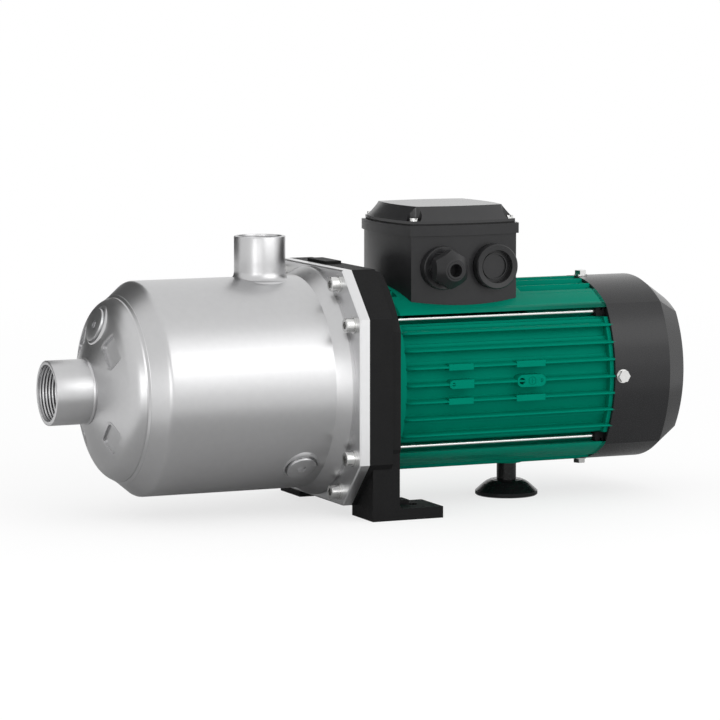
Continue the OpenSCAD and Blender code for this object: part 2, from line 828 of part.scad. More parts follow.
module rotor_core() {
  cage_l = 6;
  color("#9a9c9f") on_shaft(core_x) {
    ring(rotor_r, shaft_rotor_r, core_l);
    translate([0, 0, -cage_l]) ring(rotor_r - 2, rotor_r - 12, cage_l);
    translate([0, 0, core_l]) ring(rotor_r - 2, rotor_r - 12, cage_l);
  }
}

module fins() {
  intersection() {
    bulged(side_arc_r, side_arc_off, motor_l);
    for (a = [0 : 90 : 270], k = [-3 : 3])
      rotate([0, 0, a]) translate([bore_r - 6, k * fin_pitch - fin_t / 2, band_l])
        cube([side_arc_r - side_arc_off - bore_r + 12, fin_t, motor_l - band_l]);
  }
}

// Solid corner strips above and below the tie rod channels
module corner_strips() {
  intersection() {
    bulged(side_arc_r, side_arc_off, motor_l);
    for (sy = [-1, 1], sz = [-1, 1])
      translate([sy * 46 - 12, sz * (channel_top + 7) - 7, 0]) cube([24, 14, motor_l]);
  }
}

module fin_pads() {
  for (i = [0, 1], side = [0, 180])
    rotate([0, 0, side]) translate([bore_r - 1, 0, fin_pad_x[i]]) difference() {
      union() {
        translate([0, -fin_pad_h[i] / 2, 0])
          cube([side_arc_r - side_arc_off - bore_r + 1.2, fin_pad_h[i], fin_pad_l[i]]);
        for (e = [0, 1])
          translate([0, 0, e * fin_pad_l[i]]) rotate([0, 90, 0])
            cylinder(r = fin_pad_h[i] / 2, h = side_arc_r - side_arc_off - bore_r + 1.2);
      }
      translate([5, 0, 0]) rotate([0, 90, 0]) cylinder(r = fin_pad_h[i] * 0.25, h = 20);
    }
}

module motor_housing() {
  stem_boss_r = stem_r + 4;
  color(green) difference() {
    union() {
      on_shaft(motor_x) bulged(root_r, side_arc_off, motor_l);
      on_shaft(motor_x) bulged(side_arc_r - band_drop, side_arc_off, band_l);
      on_shaft(motor_x) fins();
      on_shaft(motor_x) corner_strips();
      on_shaft(motor_x) fin_pads();
      intersection() {
        on_shaft(motor_x) bulged(side_arc_r, side_arc_off, motor_l);
        translate([box_cx - box_w - 2, -box_w - 2, shaft_h + 40]) cube([2 * box_w + 4, 2 * box_w + 4, 40]);
      }
      intersection() {
        on_shaft(motor_x) bulged(side_arc_r, side_arc_off, motor_l);
        translate([face_x + support_x, 0, 0]) cylinder(r = stem_boss_r, h = shaft_h - bore_r);
      }
    }
    on_shaft(motor_x - 1) cylinder(r = bore_r, h = motor_l + 2);
    for (p = rod_places())
      on_shaft(motor_x - 1) translate([p[0] > 0 ? channel_in : -channel_in - 30, p[1] > 0 ? channel_bottom : -channel_top, 0])
        cube([30, channel_top - channel_bottom, motor_l + 2]);
    translate([box_cx, 0, shaft_h]) cylinder(r = wire_hole_r, h = side_arc_r);
    translate([face_x + support_x, 0, 0]) cylinder(r = stem_r * 0.7, h = shaft_h - bore_r - 3);
  }
}

module tie_rods() {
  color(polished) for (p = rod_places())
    on_shaft(motor_x - 9.5) translate([p[0], p[1], 0]) {
      cylinder(r = rod_r, h = motor_l + 9.5 + shield_t + 0.5);
      translate([0, 0, motor_l + 9.5 + shield_t]) difference() {
        cylinder(r = rod_r * 1.9, h = 4);
        translate([0, 0, 2]) hex(rod_r * 1.7, 3);
      }
    }
}

module end_shield() {
  color(black_cast) difference() {
    union() {
      on_shaft(cover_x) bulged(side_arc_r - cover_t - 0.1, side_arc_off, shield_t);
      on_shaft(cover_x - spigot_l) ring(bore_r - 0.1, bore_r - 5, spigot_l + 1);
      on_shaft(rear_bearing_x - 3) cylinder(r = rear_out_r + 4, h = cover_x + shield_t - rear_bearing_x + 3);
      for (p = rod_places())
        on_shaft(cover_x - lug_l) translate([p[0], p[1], 0]) intersection() {
          cylinder(r = lug_r, h = lug_l + 1);
          translate([p[0] > 0 ? -lug_in : lug_in - lug_r, -lug_w / 2, 0]) cube([lug_r, lug_w, lug_l + 1]);
        }
    }
    on_shaft(rear_bearing_x) cylinder(r = rear_out_r, h = rear_w);
    on_shaft(rear_bearing_x - 5) cylinder(r = shaft_rotor_r + 1, h = 10);
    on_shaft(rear_bearing_x) cylinder(r = shaft_rear_r + 1, h = 40);
    for (p = rod_places())
      on_shaft(cover_x - lug_l - 1) translate([p[0], p[1], 0]) cylinder(r = rod_r, h = 30);
    for (a = [0 : 90 : 270])
      on_shaft(cover_x + cover_screw_x) rotate([0, 0, a]) translate([side_arc_r - side_arc_off - 14, 0, 0])
        rotate([0, 90, 0]) cylinder(r = cover_screw_r, h = 20);
  }
}

cover_screw_x = 5.5;
cover_screw_r = 2;

module fan() {
  hub = shaft_rear_r + 6;
  color("#20242a") on_shaft(fan_x) {
    ring(hub, shaft_rear_r, fan_w);
    translate([0, 0, 2]) ring(fan_r - 6, hub - 1, 2);
    for (i = [0 : fan_blades - 1])
      rotate([0, 0, i * 360 / fan_blades]) translate([hub - 1, -1, 2]) cube([fan_r - hub + 1, 2, fan_w - 4]);
  }
}

slot_pitch = 8;
slot_w = 4.4;
spoke_w = 5;

module fan_cover() {
  color(grey) difference() {
    on_shaft(cover_x) {
      bulged(side_arc_r, side_arc_off, cover_l);
      translate([0, 0, cover_l - eps]) bulged(side_arc_r, side_arc_off, cover_slant_l, cover_slant_h);
    }
    on_shaft(cover_x - 1) bulged(side_arc_r - cover_t, side_arc_off, cover_l + 1 - eps);
    on_shaft(slant_x - 2 * eps)
      bulged(side_arc_r - cover_t, side_arc_off, cover_slant_l - cover_t, cover_slant_h - cover_t);
    on_shaft(rear_x - cover_t - 1) difference() {
      for (i = [1 : 5]) ring(6 + i * slot_pitch + slot_w, 6 + i * slot_pitch, 4 + cover_t);
      for (a = [0 : 45 : 135])
        rotate([0, 0, a]) translate([-100, -spoke_w / 2, -1]) cube([200, spoke_w, 8 + cover_t]);
    }
    for (a = [0 : 90 : 270])
      on_shaft(cover_x + cover_screw_x) rotate([0, 0, a]) translate([side_arc_r - side_arc_off - 10, 0, 0])
        rotate([0, 90, 0]) cylinder(r = cover_screw_r + 0.2, h = 20);
  }
}

module fan_cover_screws() {
  flat = side_arc_r - side_arc_off;
  color(polished) for (a = [0 : 90 : 270])
    on_shaft(cover_x + cover_screw_x) rotate([0, 0, a]) translate([flat, 0, 0]) rotate([0, 90, 0]) {
      translate([0, 0, -11]) cylinder(r = cover_screw_r, h = 12);
      cylinder(r = cover_screw_r * 2.5, h = 1.1);
      translate([0, 0, 1]) hex(cover_screw_r * 4, 3);
    }
}

module support_stem() {
  top = shaft_h - side_arc_r + side_arc_off;
  color(grey) translate([face_x + support_x, 0, 0]) {
    translate([0, 0, pad_h]) cylinder(r = stem_r, h = top - pad_h);
    translate([0, 0, pad_h - 5]) cylinder(r = stem_r * 0.7, h = shaft_h - bore_r - 4 - pad_h + 5);
  }
}

module support_pad() {
  color(rubber) translate([face_x + support_x, 0, 0]) rotate_extrude()
    polygon(concat(
      [[0, 0], [pad_r - 0.8, 0], [pad_r, 0.8], [pad_r, 3.2], [pad_r - 0.8, 4]],
      [for (s = [1 : 5]) [pad_r - 1 - (pad_r - stem_r - 3.8) * s / 5, 4 + (pad_h - 4.2) * sin(90 * s / 5)]],
      [[stem_r + 2.6, pad_h], [stem_r * 0.7 + 0.1, pad_h], [stem_r * 0.7 + 0.1, pad_h - 5.1], [0, pad_h - 5.1]]));
}

module box_body() {
  translate([box_cx, 0, shaft_h]) children();
}

module terminal_box() {
  color(grey) difference() {
    box_body() {
      translate([0, 0, 45]) bulged(box_arc_r, box_off, box_h - 45);
      translate([-gland_x, entry_boss_in - gland_y, entry_h]) rotate([90, 0, 0])
        cylinder(r = gland_collar_r, h = entry_boss_in);
      translate([blank_x, entry_boss_in - blank_y, entry_h]) rotate([90, 0, 0])
        cylinder(r = blank_ring_r, h = entry_boss_in);
      translate([0, 0, box_h - rim_h]) bulged(box_arc_r + rim_o, box_off, rim_h);
    }
    box_body() translate([0, 0, box_floor_h]) difference() {
      bulged(box_arc_r - box_wall, box_off, box_h);
      for (sx = [-1, 1], sy = [-1, 1])
        translate([sx * lid_screw_at, sy * lid_screw_at, -1]) cylinder(r = 5.2, h = box_h + 2);
    }
    box_body() translate([-100, 0, -side_arc_off]) rotate([0, 90, 0])
      cylinder(r = side_arc_r + seat_gap / 2, h = 200, $fn = 180);
    box_body() cylinder(r = wire_hole_r, h = box_h);
    for (sx = [-1, 1], sy = [-1, 1])
      box_body() translate([sx * lid_screw_at, sy * lid_screw_at, box_h - 14]) cylinder(r = 1.6, h = 20);
    box_body() translate([-gland_x, -gland_y, entry_h]) rotate([90, 0, 0])
      cylinder(r = gland_collar_r + seat_gap, h = entry_in);
    box_body() translate([blank_x, -blank_y, entry_h]) rotate([90, 0, 0])
      cylinder(r = blank_ring_r + seat_gap, h = entry_in);
    box_body() translate([-gland_x, entry_in - box_w, entry_h]) rotate([90, 0, 0])
      cylinder(r = gland_thread_r, h = 2 * entry_in);
    box_body() translate([blank_x, entry_in - box_w, entry_h]) rotate([90, 0, 0])
      cylinder(r = blank_thread_r, h = 2 * entry_in);
  }
}

gland_thread_r = 9.8;
blank_thread_r = 11.8;
entry_in = 12;
entry_boss_in = 5;
blank_ring_r = 16.25;

// Distance of the front wall from the box centre at offset x
function wall_y(x) = sqrt(box_arc_r * box_arc_r - x * x) - box_off;

module lid_gasket() {
  color(rubber) translate([box_cx, 0, shaft_h + box_h]) difference() {
    bulged(box_arc_r - 1, box_off, gasket_t);
    translate([0, 0, -1]) bulged(box_arc_r - 4, box_off, gasket_t + 2);
    for (sx = [-1, 1], sy = [-1, 1])
      translate([sx * lid_screw_at, sy * lid_screw_at, -1]) cylinder(r = 2, h = gasket_t + 2);
  }
}

module box_lid() {
  color(grey) translate([box_cx, 0, lid_z]) difference() {
    union() {
      bulged(box_arc_r - lid_edge, box_off, lid_lip);
      translate([0, 0, lid_lip]) bulged(box_arc_r - lid_edge, box_off, lid_h - lid_lip - gasket_t, lid_in);
    }
    difference() {
      translate([0, 0, -1])
        bulged(box_arc_r - lid_edge - box_wall, box_off, lid_h - box_wall - gasket_t + 1, lid_in);
      for (sx = [-1, 1], sy = [-1, 1])
        translate([sx * lid_screw_at, sy * lid_screw_at, -2]) cylinder(r = lid_notch_r + 1.8, h = lid_h + 4);
    }
    for (sx = [-1, 1], sy = [-1, 1])
      translate([sx * lid_screw_at, sy * lid_screw_at, 0]) {
        translate([0, 0, lid_lip]) cylinder(r = lid_notch_r, h = lid_h);
        translate([0, 0, -1]) cylinder(r = 1.8, h = lid_lip + 2);
      }
  }
}

module lid_screws() {
  color(polished) translate([box_cx, 0, lid_z + lid_lip]) for (sx = [-1, 1], sy = [-1, 1])
    translate([sx * lid_screw_at, sy * lid_screw_at, 0]) {
      translate([0, 0, -lid_lip - 12]) cylinder(r = 1.5, h = lid_lip + 12.5);
      difference() {
        cylinder(r = 3.3, h = 2.2);
        translate([-4, -0.5, 1.2]) cube([8, 1, 2]);
        translate([-0.5, -4, 1.2]) cube([1, 8, 2]);
      }
    }
}

block_w = [56, 34, 9];
stud_gap = 18;

module stud_places() {
  for (i = [-1 : 1], s = [-1, 1])
    translate([box_cx + i * stud_gap, 8 + s * 9, shaft_h + box_floor_h]) children();
}

module terminal_block() {
  color("#7a3b22") difference() {
    union() {
      translate([box_cx - block_w[0] / 2, 8 - block_w[1] / 2, shaft_h + box_floor_h + 3]) cube(block_w);
      for (i = [-1, 1])
        translate([box_cx + i * 20 - 4, 4, shaft_h + box_floor_h]) cube([8, 8, 4]);
    }
    stud_places() translate([0, 0, 5]) cylinder(r = 2, h = 20);
  }
}

module terminal_studs() {
  color("#c9a24a") {
    stud_places() translate([0, 0, 5]) {
      cylinder(r = 2, h = 16);
      translate([0, 0, 8]) hex(7, 3.2);
    }
    for (i = [-1 : 1])
      translate([box_cx + i * stud_gap - 3.5, 8 - 13, shaft_h + box_floor_h + 12]) cube([7, 26, 1.2]);
  }
}

gland_y = wall_y(gland_x);
blank_y = wall_y(blank_x);
gland_collar_r = 15.5;
gland_collar_l = 5;
gland_neck_l = 5;
gland_nut_l = 15;

module at_gland() {
  translate([box_cx - gland_x, -gland_y, shaft_h + entry_h]) rotate([90, 0, 0]) children();
}

module gland_body() {
  color(rubber) at_gland() difference() {
    union() {
      translate([0, 0, -8]) cylinder(r = gland_thread_r - 0.05, h = 9);
      cylinder(r = gland_collar_r, h = gland_collar_l - 0.6);
      translate([0, 0, gland_collar_l - 0.6]) cylinder(r1 = gland_collar_r, r2 = gland_collar_r - 0.6, h = 0.6);
      translate([0, 0, gland_collar_l - 0.6]) hex(22, gland_neck_l);
      translate([0, 0, gland_collar_l]) cylinder(r = 9, h = gland_neck_l + 8);
    }
    translate([0, 0, -9]) cylinder(r = 7.4, h = 40);
  }
}

module gland_nut() {
  z0 = gland_collar_l + gland_neck_l;
  color(grey) at_gland() translate([0, 0, z0]) difference() {
    intersection() {
      hex(25, gland_nut_l);
      cylinder(r1 = 21, r2 = 8.4, h = gland_nut_l);
    }
    translate([0, 0, -1]) cylinder(r = 9.05, h = 9.5);
    translate([0, 0, -1]) cylinder(r = cable_r, h = gland_nut_l + 2);
  }
}

module gland_seal() {
  color(rubber) at_gland() translate([0, 0, gland_collar_l + 2])
    ring(7.35, cable_r, gland_neck_l + 6);
}

module blanking_plug() {
  color(rubber) translate([box_cx + blank_x, -blank_y, shaft_h + entry_h]) rotate([90, 0, 0]) rotate_extrude()
    polygon([
      [0, 2.4], [8.85, 2.4], [8.85, 3.8], [9.6, 3.8], [9.6, 2.4], [12, 2.4], [12, 8],
      [blank_ring_r - 0.8, 8.6], [blank_ring_r, 7.8], [blank_ring_r, 0], [blank_thread_r - 0.05, 0],
      [blank_thread_r - 0.05, -9], [0, -9]
    ]);
}

pump_casing();
suction_port();
discharge_port();
casing_flange();
flange_screws();
fill_boss();
fill_plug();
fill_plug_seal();
drain_boss();
drain_plug();
drain_plug_seal();
casing_o_ring();
seal_plate();
seal_seat();
seal_head();
seal_spring();
inlet_plate();
stage_casing(1);  // stage_casing_1
stage_casing(2);  // stage_casing_2
stage_casing(3);  // stage_casing_3
stage_casing(4);  // stage_casing_4
stage_casing(5);  // stage_casing_5
impeller(1);  // impeller_1
impeller(2);  // impeller_2
impeller(3);  // impeller_3
impeller(4);  // impeller_4
impeller(5);  // impeller_5
impeller_nut();
shaft();
slinger();
motor_bracket();
front_bearing_outer();
front_bearing_inner();
front_bearing_balls();
rear_bearing_outer();
rear_bearing_inner();
rear_bearing_balls();
stator_core();
stator_windings();
rotor_core();
motor_housing();
tie_rods();
end_shield();
fan();
fan_cover();
fan_cover_screws();
support_stem();
support_pad();
terminal_box();
lid_gasket();
box_lid();
lid_screws();
terminal_block();
terminal_studs();
gland_body();
gland_nut();
gland_seal();
blanking_plug();
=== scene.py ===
import json
import math

import bmesh
import bpy
from mathutils import Matrix, Vector


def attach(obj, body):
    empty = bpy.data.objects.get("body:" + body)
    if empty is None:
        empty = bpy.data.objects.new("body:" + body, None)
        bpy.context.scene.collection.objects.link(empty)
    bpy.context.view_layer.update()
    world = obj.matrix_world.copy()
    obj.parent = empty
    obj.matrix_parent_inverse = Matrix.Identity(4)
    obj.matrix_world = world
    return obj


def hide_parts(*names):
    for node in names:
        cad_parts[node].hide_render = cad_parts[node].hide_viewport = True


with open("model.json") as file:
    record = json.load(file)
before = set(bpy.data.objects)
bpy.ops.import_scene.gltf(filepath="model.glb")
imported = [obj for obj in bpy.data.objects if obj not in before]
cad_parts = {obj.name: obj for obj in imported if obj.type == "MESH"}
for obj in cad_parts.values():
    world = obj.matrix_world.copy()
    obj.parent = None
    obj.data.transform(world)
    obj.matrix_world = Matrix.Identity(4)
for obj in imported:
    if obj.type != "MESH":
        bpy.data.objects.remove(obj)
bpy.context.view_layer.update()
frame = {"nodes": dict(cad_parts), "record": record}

print("stage: frame loaded")

nodes = frame["nodes"]
slotOf = {part["node"]: part["material_slot"] for part in frame["record"]["subparts"]}
scene = bpy.context.scene

# camera, studio and floor

cameraSet = {
    "lens": 187.48,          # fitted to the photo, on a 36 mm sensor
    "place": (-1.09935, -2.47478, 0.40615),
    "pitch": 6.35,           # degrees below the horizon
    "yaw": -23.75,
}

studioSet = {
    "floorColour": (0.8, 0.8, 0.8),
    "floorHalf": 9.0,
    "shadowDepth": 0.3,      # how much of the floor's own shading the camera sees
    "fade": (0.45, 1.5),     # where the shading of the floor ends
    "skyStrength": 0.88,     # what the sky gives to matt surfaces
    "skyShown": 1.0,         # what camera and gloss see of it
}

paintedReflectionSet = {
    # grey cards seen only in reflections, painted reflection: shaded floor under the pump, a dark room behind and a
    # bright floor to the left, as the metal mirrors them; colour, two opposite corners
    "front": (0.5, (-0.34, -0.3, 0.0006), (0.6, 0.5, 0.0006)),
    "behind": (0.08, (-1.7, 1.2, 0.1), (0.06, 1.2, 1.9)),
    "left": (1.0, (-1.1, 0.5, 0.0006), (-0.1, 1.4, 0.0006)),
}

lampSet = {
    # name: place, target, size, power
    "frontBox": ((0.66, -1.5, 0.98), (-0.1, 0, 0.1), (1.8, 1.9), 6.5),
    "keyStrip": ((0.63, -1.4, 0.92), (-0.1, 0, 0.1), (1.7, 0.62), 4.0),
    "cameraBox": ((-1.35, -3.1, 0.5), (0, 0, 0.1), (1.1, 1.5), 6),
    "sideBox": ((-1.15, -1.1, 0.3), (-0.15, 0, 0.1), (0.36, 0.75), 2.2),
}


def makeCamera():
    data = bpy.data.cameras.new("camera")
    data.lens = cameraSet["lens"]
    data.sensor_width = 36
    data.clip_end = 60
    camera = bpy.data.objects.new("camera", data)
    camera.location = cameraSet["place"]
    camera.rotation_euler = (math.radians(90 - cameraSet["pitch"]), 0, math.radians(cameraSet["yaw"]))
    scene.collection.objects.link(camera)
    scene.camera = camera


def addNode(tree, kind, settings=None, **inputs):
    # makes a node, sets its options, then fills or links its inputs, named or numbered as i0, i1
    item = tree.nodes.new(kind)
    for name, value in (settings or {}).items():
        setattr(item, name, value)
    for name, value in inputs.items():
        numbered = name[0] == "i" and name[1:].isdigit()
        socket = item.inputs[int(name[1:]) if numbered else name.replace("_", " ")]
        if isinstance(value, bpy.types.NodeSocket):
            tree.links.new(value, socket)
        else:
            socket.default_value = value
    return item


def flatMesh(name, low, high):
    mesh = bpy.data.meshes.new(name)
    mesh.from_pydata([low, (high[0], low[1], low[2]), high, (low[0], high[1], high[2])], [], [(0, 1, 2, 3)])
    sheet = bpy.data.objects.new(name, mesh)
    scene.collection.objects.link(sheet)
    material = bpy.data.materials.new(name + "Paint")
    material.use_nodes = True
    mesh.materials.append(material)
    return sheet, material.node_tree


def seenDirectly(tree):
    # 1 for camera, glossy and transmission rays
    path = addNode(tree, "ShaderNodeLightPath")
    both = addNode(tree, "ShaderNodeMath", {"operation": "MAXIMUM"},
                   i0=path.outputs["Is Camera Ray"], i1=path.outputs["Is Glossy Ray"])
    return addNode(tree, "ShaderNodeMath", {"operation": "MAXIMUM"},
                   i0=both.outputs[0], i1=path.outputs["Is Transmission Ray"]).outputs[0]


def makeFloor():
    half = studioSet["floorHalf"]
    floor, tree = flatMesh("floor", (-half, -half, 0), (half, half, 0))
    tree.nodes.clear()
    depth = studioSet["shadowDepth"]
    matt = addNode(tree, "ShaderNodeBsdfDiffuse", Color=(*studioSet["floorColour"], 1))
    shaded = addNode(tree, "ShaderNodeBsdfDiffuse", Color=(depth, depth, depth, 1))
    glow = addNode(tree, "ShaderNodeEmission", Color=(1, 1, 1, 1), Strength=1 - depth)
    white = addNode(tree, "ShaderNodeAddShader", i0=shaded.outputs[0], i1=glow.outputs[0])
    plain = addNode(tree, "ShaderNodeEmission", Color=(1, 1, 1, 1), Strength=1)
    away = addNode(tree, "ShaderNodeVectorMath", {"operation": "LENGTH"},
                   i0=addNode(tree, "ShaderNodeTexCoord").outputs["Object"])
    near, far = studioSet["fade"]
    fade = addNode(tree, "ShaderNodeMapRange", Value=away.outputs["Value"], i1=near, i2=far, i3=0, i4=1)
    white = addNode(tree, "ShaderNodeMixShader", Fac=fade.outputs[0], i1=white.outputs[0], i2=plain.outputs[0])
    mix = addNode(tree, "ShaderNodeMixShader", Fac=seenDirectly(tree), i1=matt.outputs[0], i2=white.outputs[0])
    addNode(tree, "ShaderNodeOutputMaterial", Surface=mix.outputs[0])


def makePaintedReflections():
    for name, (grey, low, high) in paintedReflectionSet.items():
        reflectionSheet, tree = flatMesh(name + "PaintedReflection", low, high)
        shader = tree.nodes["Principled BSDF"]
        shader.inputs["Base Color"].default_value = (grey, grey, grey, 1)
        shader.inputs["Roughness"].default_value = 1
        shader.inputs["Specular IOR Level"].default_value = 0
        # gloss rays only: these sheets paint reflections and neither light nor shade anything
        reflectionSheet.visible_camera = reflectionSheet.visible_diffuse = reflectionSheet.visible_shadow = reflectionSheet.visible_transmission = False


def makeSky():
    world = bpy.data.worlds.new("studio")
    scene.world = world
    world.use_nodes = True
    tree = world.node_tree
    tree.nodes.clear()
    dim = addNode(tree, "ShaderNodeBackground", Color=(1, 1, 1, 1), Strength=studioSet["skyStrength"])
    white = addNode(tree, "ShaderNodeBackground", Color=(1, 1, 1, 1), Strength=studioSet["skyShown"])
    mix = addNode(tree, "ShaderNodeMixShader", Fac=seenDirectly(tree), i1=dim.outputs[0], i2=white.outputs[0])
    addNode(tree, "ShaderNodeOutputWorld", Surface=mix.outputs[0])


def makeLamps():
    for name, (place, target, size, power) in lampSet.items():
        data = bpy.data.lights.new(name, "AREA")
        data.shape = "RECTANGLE"
        data.size, data.size_y = size
        data.energy = power
        lamp = bpy.data.objects.new(name, data)
        lamp.location = place
        lamp.rotation_euler = (Vector(target) - Vector(place)).to_track_quat("-Z", "Y").to_euler()
        scene.collection.objects.link(lamp)


makeCamera()
makeFloor()
makePaintedReflections()
makeSky()
makeLamps()
scene.view_settings.view_transform = "Standard"
print("stage: studio ready")

# finishes: every material works on object coordinates, in metres

finishSet = {
    # slot: colour, second colour, metallic, roughness low and high, grain per metre, bump height in mm,
    # specular level, tint of the gloss
    "stainless": {"colour": (0.56, 0.56, 0.565), "other": (0.52, 0.52, 0.525), "metal": 1, "rough": (0.3, 0.38),
                  "grain": 2600, "bump": 0.004, "specular": 0.5, "tint": (1, 1, 1)},
    # a paler copy of the stainless for the casing flange: painted light, standing in for the brighter reflection
    # its face shows
    "painted_light_stainless": {"colour": (0.74, 0.74, 0.745), "other": (0.7, 0.7, 0.705), "metal": 1, "rough": (0.3, 0.38),
                  "grain": 2600, "bump": 0.004, "specular": 0.5, "tint": (1, 1, 1)},
    "cast_steel": {"colour": (0.6, 0.6, 0.61), "other": (0.5, 0.5, 0.51), "metal": 1, "rough": (0.35, 0.5),
                   "grain": 1500, "bump": 0.02, "specular": 0.5, "tint": (1, 1, 1)},
    "bright_steel": {"colour": (0.72, 0.72, 0.71), "other": (0.64, 0.64, 0.63), "metal": 1, "rough": (0.16, 0.26),
                     "grain": 1600, "bump": 0.003, "specular": 0.5, "tint": (1, 1, 1)},
    "bearing_steel": {"colour": (0.7, 0.7, 0.7), "other": (0.62, 0.62, 0.62), "metal": 1, "rough": (0.1, 0.18),
                      "grain": 1500, "bump": 0.002, "specular": 0.5, "tint": (1, 1, 1)},
    "black_cast": {"colour": (0.009, 0.009, 0.0094), "other": (0.006, 0.006, 0.0063), "metal": 0,
                   "rough": (0.5, 0.68), "grain": 1100, "bump": 0.1, "specular": 0.14, "tint": (1, 1, 1)},
    "green_paint": {"colour": (0, 0.2, 0.128), "other": (0, 0.178, 0.114), "metal": 0, "rough": (0.38, 0.48),
                    "grain": 700, "bump": 0.015, "specular": 0.08, "tint": (0.02, 1, 0.85)},
    "grey_cover": {"colour": (0.02, 0.02, 0.021), "other": (0.016, 0.016, 0.017), "metal": 0, "rough": (0.22, 0.3),
                   "grain": 1400, "bump": 0.012, "specular": 0.3, "tint": (1, 1, 1)},
    "grey_box": {"colour": (0.02, 0.02, 0.021), "other": (0.013, 0.013, 0.014), "metal": 0, "rough": (0.28, 0.38),
                 "grain": 1500, "bump": 0.04, "specular": 0.32, "tint": (1, 1, 1)},
    "grey_lid": {"colour": (0.024, 0.024, 0.025), "other": (0.018, 0.018, 0.019), "metal": 0, "rough": (0.16, 0.22),
                 "grain": 1500, "bump": 0.006, "specular": 0.5, "tint": (1, 1, 1)},
    "black_plastic": {"colour": (0.016, 0.016, 0.017), "other": (0.012, 0.012, 0.013), "metal": 0,
                      "rough": (0.28, 0.38), "grain": 1500, "bump": 0.01, "specular": 0.4, "tint": (1, 1, 1)},
    "gloss_black": {"colour": (0.008, 0.008, 0.0085), "other": (0.006, 0.006, 0.0065), "metal": 0,
                    "rough": (0.18, 0.28), "grain": 900, "bump": 0.01, "specular": 0.4, "tint": (1, 1, 1)},
    "rubber": {"colour": (0.014, 0.014, 0.014), "other": (0.01, 0.01, 0.01), "metal": 0, "rough": (0.6, 0.8),
               "grain": 1500, "bump": 0.03, "specular": 0.3, "tint": (1, 1, 1)},
    "ceramic": {"colour": (0.7, 0.68, 0.62), "other": (0.64, 0.62, 0.56), "metal": 0, "rough": (0.2, 0.3),
                "grain": 900, "bump": 0.004, "specular": 0.5, "tint": (1, 1, 1)},
    "carbon": {"colour": (0.03, 0.03, 0.032), "other": (0.02, 0.02, 0.022), "metal": 0, "rough": (0.3, 0.45),
               "grain": 900, "bump": 0.006, "specular": 0.5, "tint": (1, 1, 1)},
    "copper": {"colour": (0.55, 0.22, 0.09), "other": (0.45, 0.16, 0.06), "metal": 1, "rough": (0.3, 0.42),
               "grain": 600, "bump": 0.05, "specular": 0.5, "tint": (1, 1, 1)},
    "lamination": {"colour": (0.32, 0.33, 0.34), "other": (0.24, 0.25, 0.26), "metal": 1, "rough": (0.4, 0.55),
                   "grain": 700, "bump": 0.02, "specular": 0.5, "tint": (1, 1, 1)},
    "brass": {"colour": (0.62, 0.45, 0.16), "other": (0.55, 0.38, 0.12), "metal": 1, "rough": (0.25, 0.35),
              "grain": 900, "bump": 0.006, "specular": 0.5, "tint": (1, 1, 1)},
    "brown_resin": {"colour": (0.12, 0.035, 0.015), "other": (0.1, 0.028, 0.012), "metal": 0, "rough": (0.35, 0.5),
                    "grain": 900, "bump": 0.015, "specular": 0.5, "tint": (1, 1, 1)},
}


def makeFinish(name, values):
    material = bpy.data.materials.new(name)
    material.use_nodes = True
    tree = material.node_tree
    shader = tree.nodes["Principled BSDF"]
    spot = addNode(tree, "ShaderNodeTexCoord").outputs["Object"]
    cloud = addNode(tree, "ShaderNodeTexNoise", Vector=spot, Scale=values["grain"] / 12, Detail=4)
    grain = addNode(tree, "ShaderNodeTexNoise", Vector=spot, Scale=values["grain"], Detail=3)
    tint = addNode(tree, "ShaderNodeMix", {"data_type": "RGBA"}, Factor=cloud.outputs[0])
    tint.inputs[6].default_value = (*values["colour"], 1)
    tint.inputs[7].default_value = (*values["other"], 1)
    tree.links.new(tint.outputs[2], shader.inputs["Base Color"])
    low, high = values["rough"]
    gloss = addNode(tree, "ShaderNodeMapRange", Value=grain.outputs[0], i1=0.3, i2=0.7, i3=low, i4=high)
    tree.links.new(gloss.outputs[0], shader.inputs["Roughness"])
    bump = addNode(tree, "ShaderNodeBump", Height=grain.outputs[0], Distance=values["bump"] / 1000, Strength=1.0)
    tree.links.new(bump.outputs[0], shader.inputs["Normal"])
    shader.inputs["Metallic"].default_value = values["metal"]
    shader.inputs["Specular IOR Level"].default_value = values["specular"]
    shader.inputs["Specular Tint"].default_value = (*values["tint"], 1)
    return material


finishes = {name: makeFinish(name, values) for name, values in finishSet.items()}
# the casing flange takes the paler stainless copy, painted light
ownFinish = {"box_lid": "grey_lid", "casing_flange": "painted_light_stainless"}
for name, obj in nodes.items():
    finish = finishes[ownFinish.get(name, slotOf[name])]
    if not obj.material_slots:
        obj.data.materials.append(finish)
    for entry in obj.material_slots:
        entry.material = finish
print("stage: finishes on", len(nodes), "solids")

# pieces shaped here, by Geometry Nodes and by turned and carved solids; sizes in millimetres, each form
# along its own z axis


def newTree(name, sizes):
    # a tree with one named input per size, given as name: (kind, value)
    tree = bpy.data.node_groups.new(name, "GeometryNodeTree")
    tree.interface.new_socket("Geometry", in_out="INPUT", socket_type="NodeSocketGeometry")
    for label, (kind, value) in sizes.items():
        socket = tree.interface.new_socket(label, in_out="INPUT", socket_type="NodeSocket" + kind)
        socket.default_value = value
    tree.interface.new_socket("Geometry", in_out="OUTPUT", socket_type="NodeSocketGeometry")
    return tree, tree.nodes.new("NodeGroupInput").outputs


def math2(tree, operation, first, second=0.0, third=0.0):
    return addNode(tree, "ShaderNodeMath", {"operation": operation}, i0=first, i1=second, i2=third).outputs[0]


def roundPlace(tree, radius, turn, height):
    # a point from its radius, its turn (0 to 1) and its height
    angle = math2(tree, "MULTIPLY", turn, math.tau)
    across = math2(tree, "MULTIPLY", radius, math2(tree, "COSINE", angle))
    up = math2(tree, "MULTIPLY", radius, math2(tree, "SINE", angle))
    return addNode(tree, "ShaderNodeCombineXYZ", X=across, Y=up, Z=height).outputs[0]


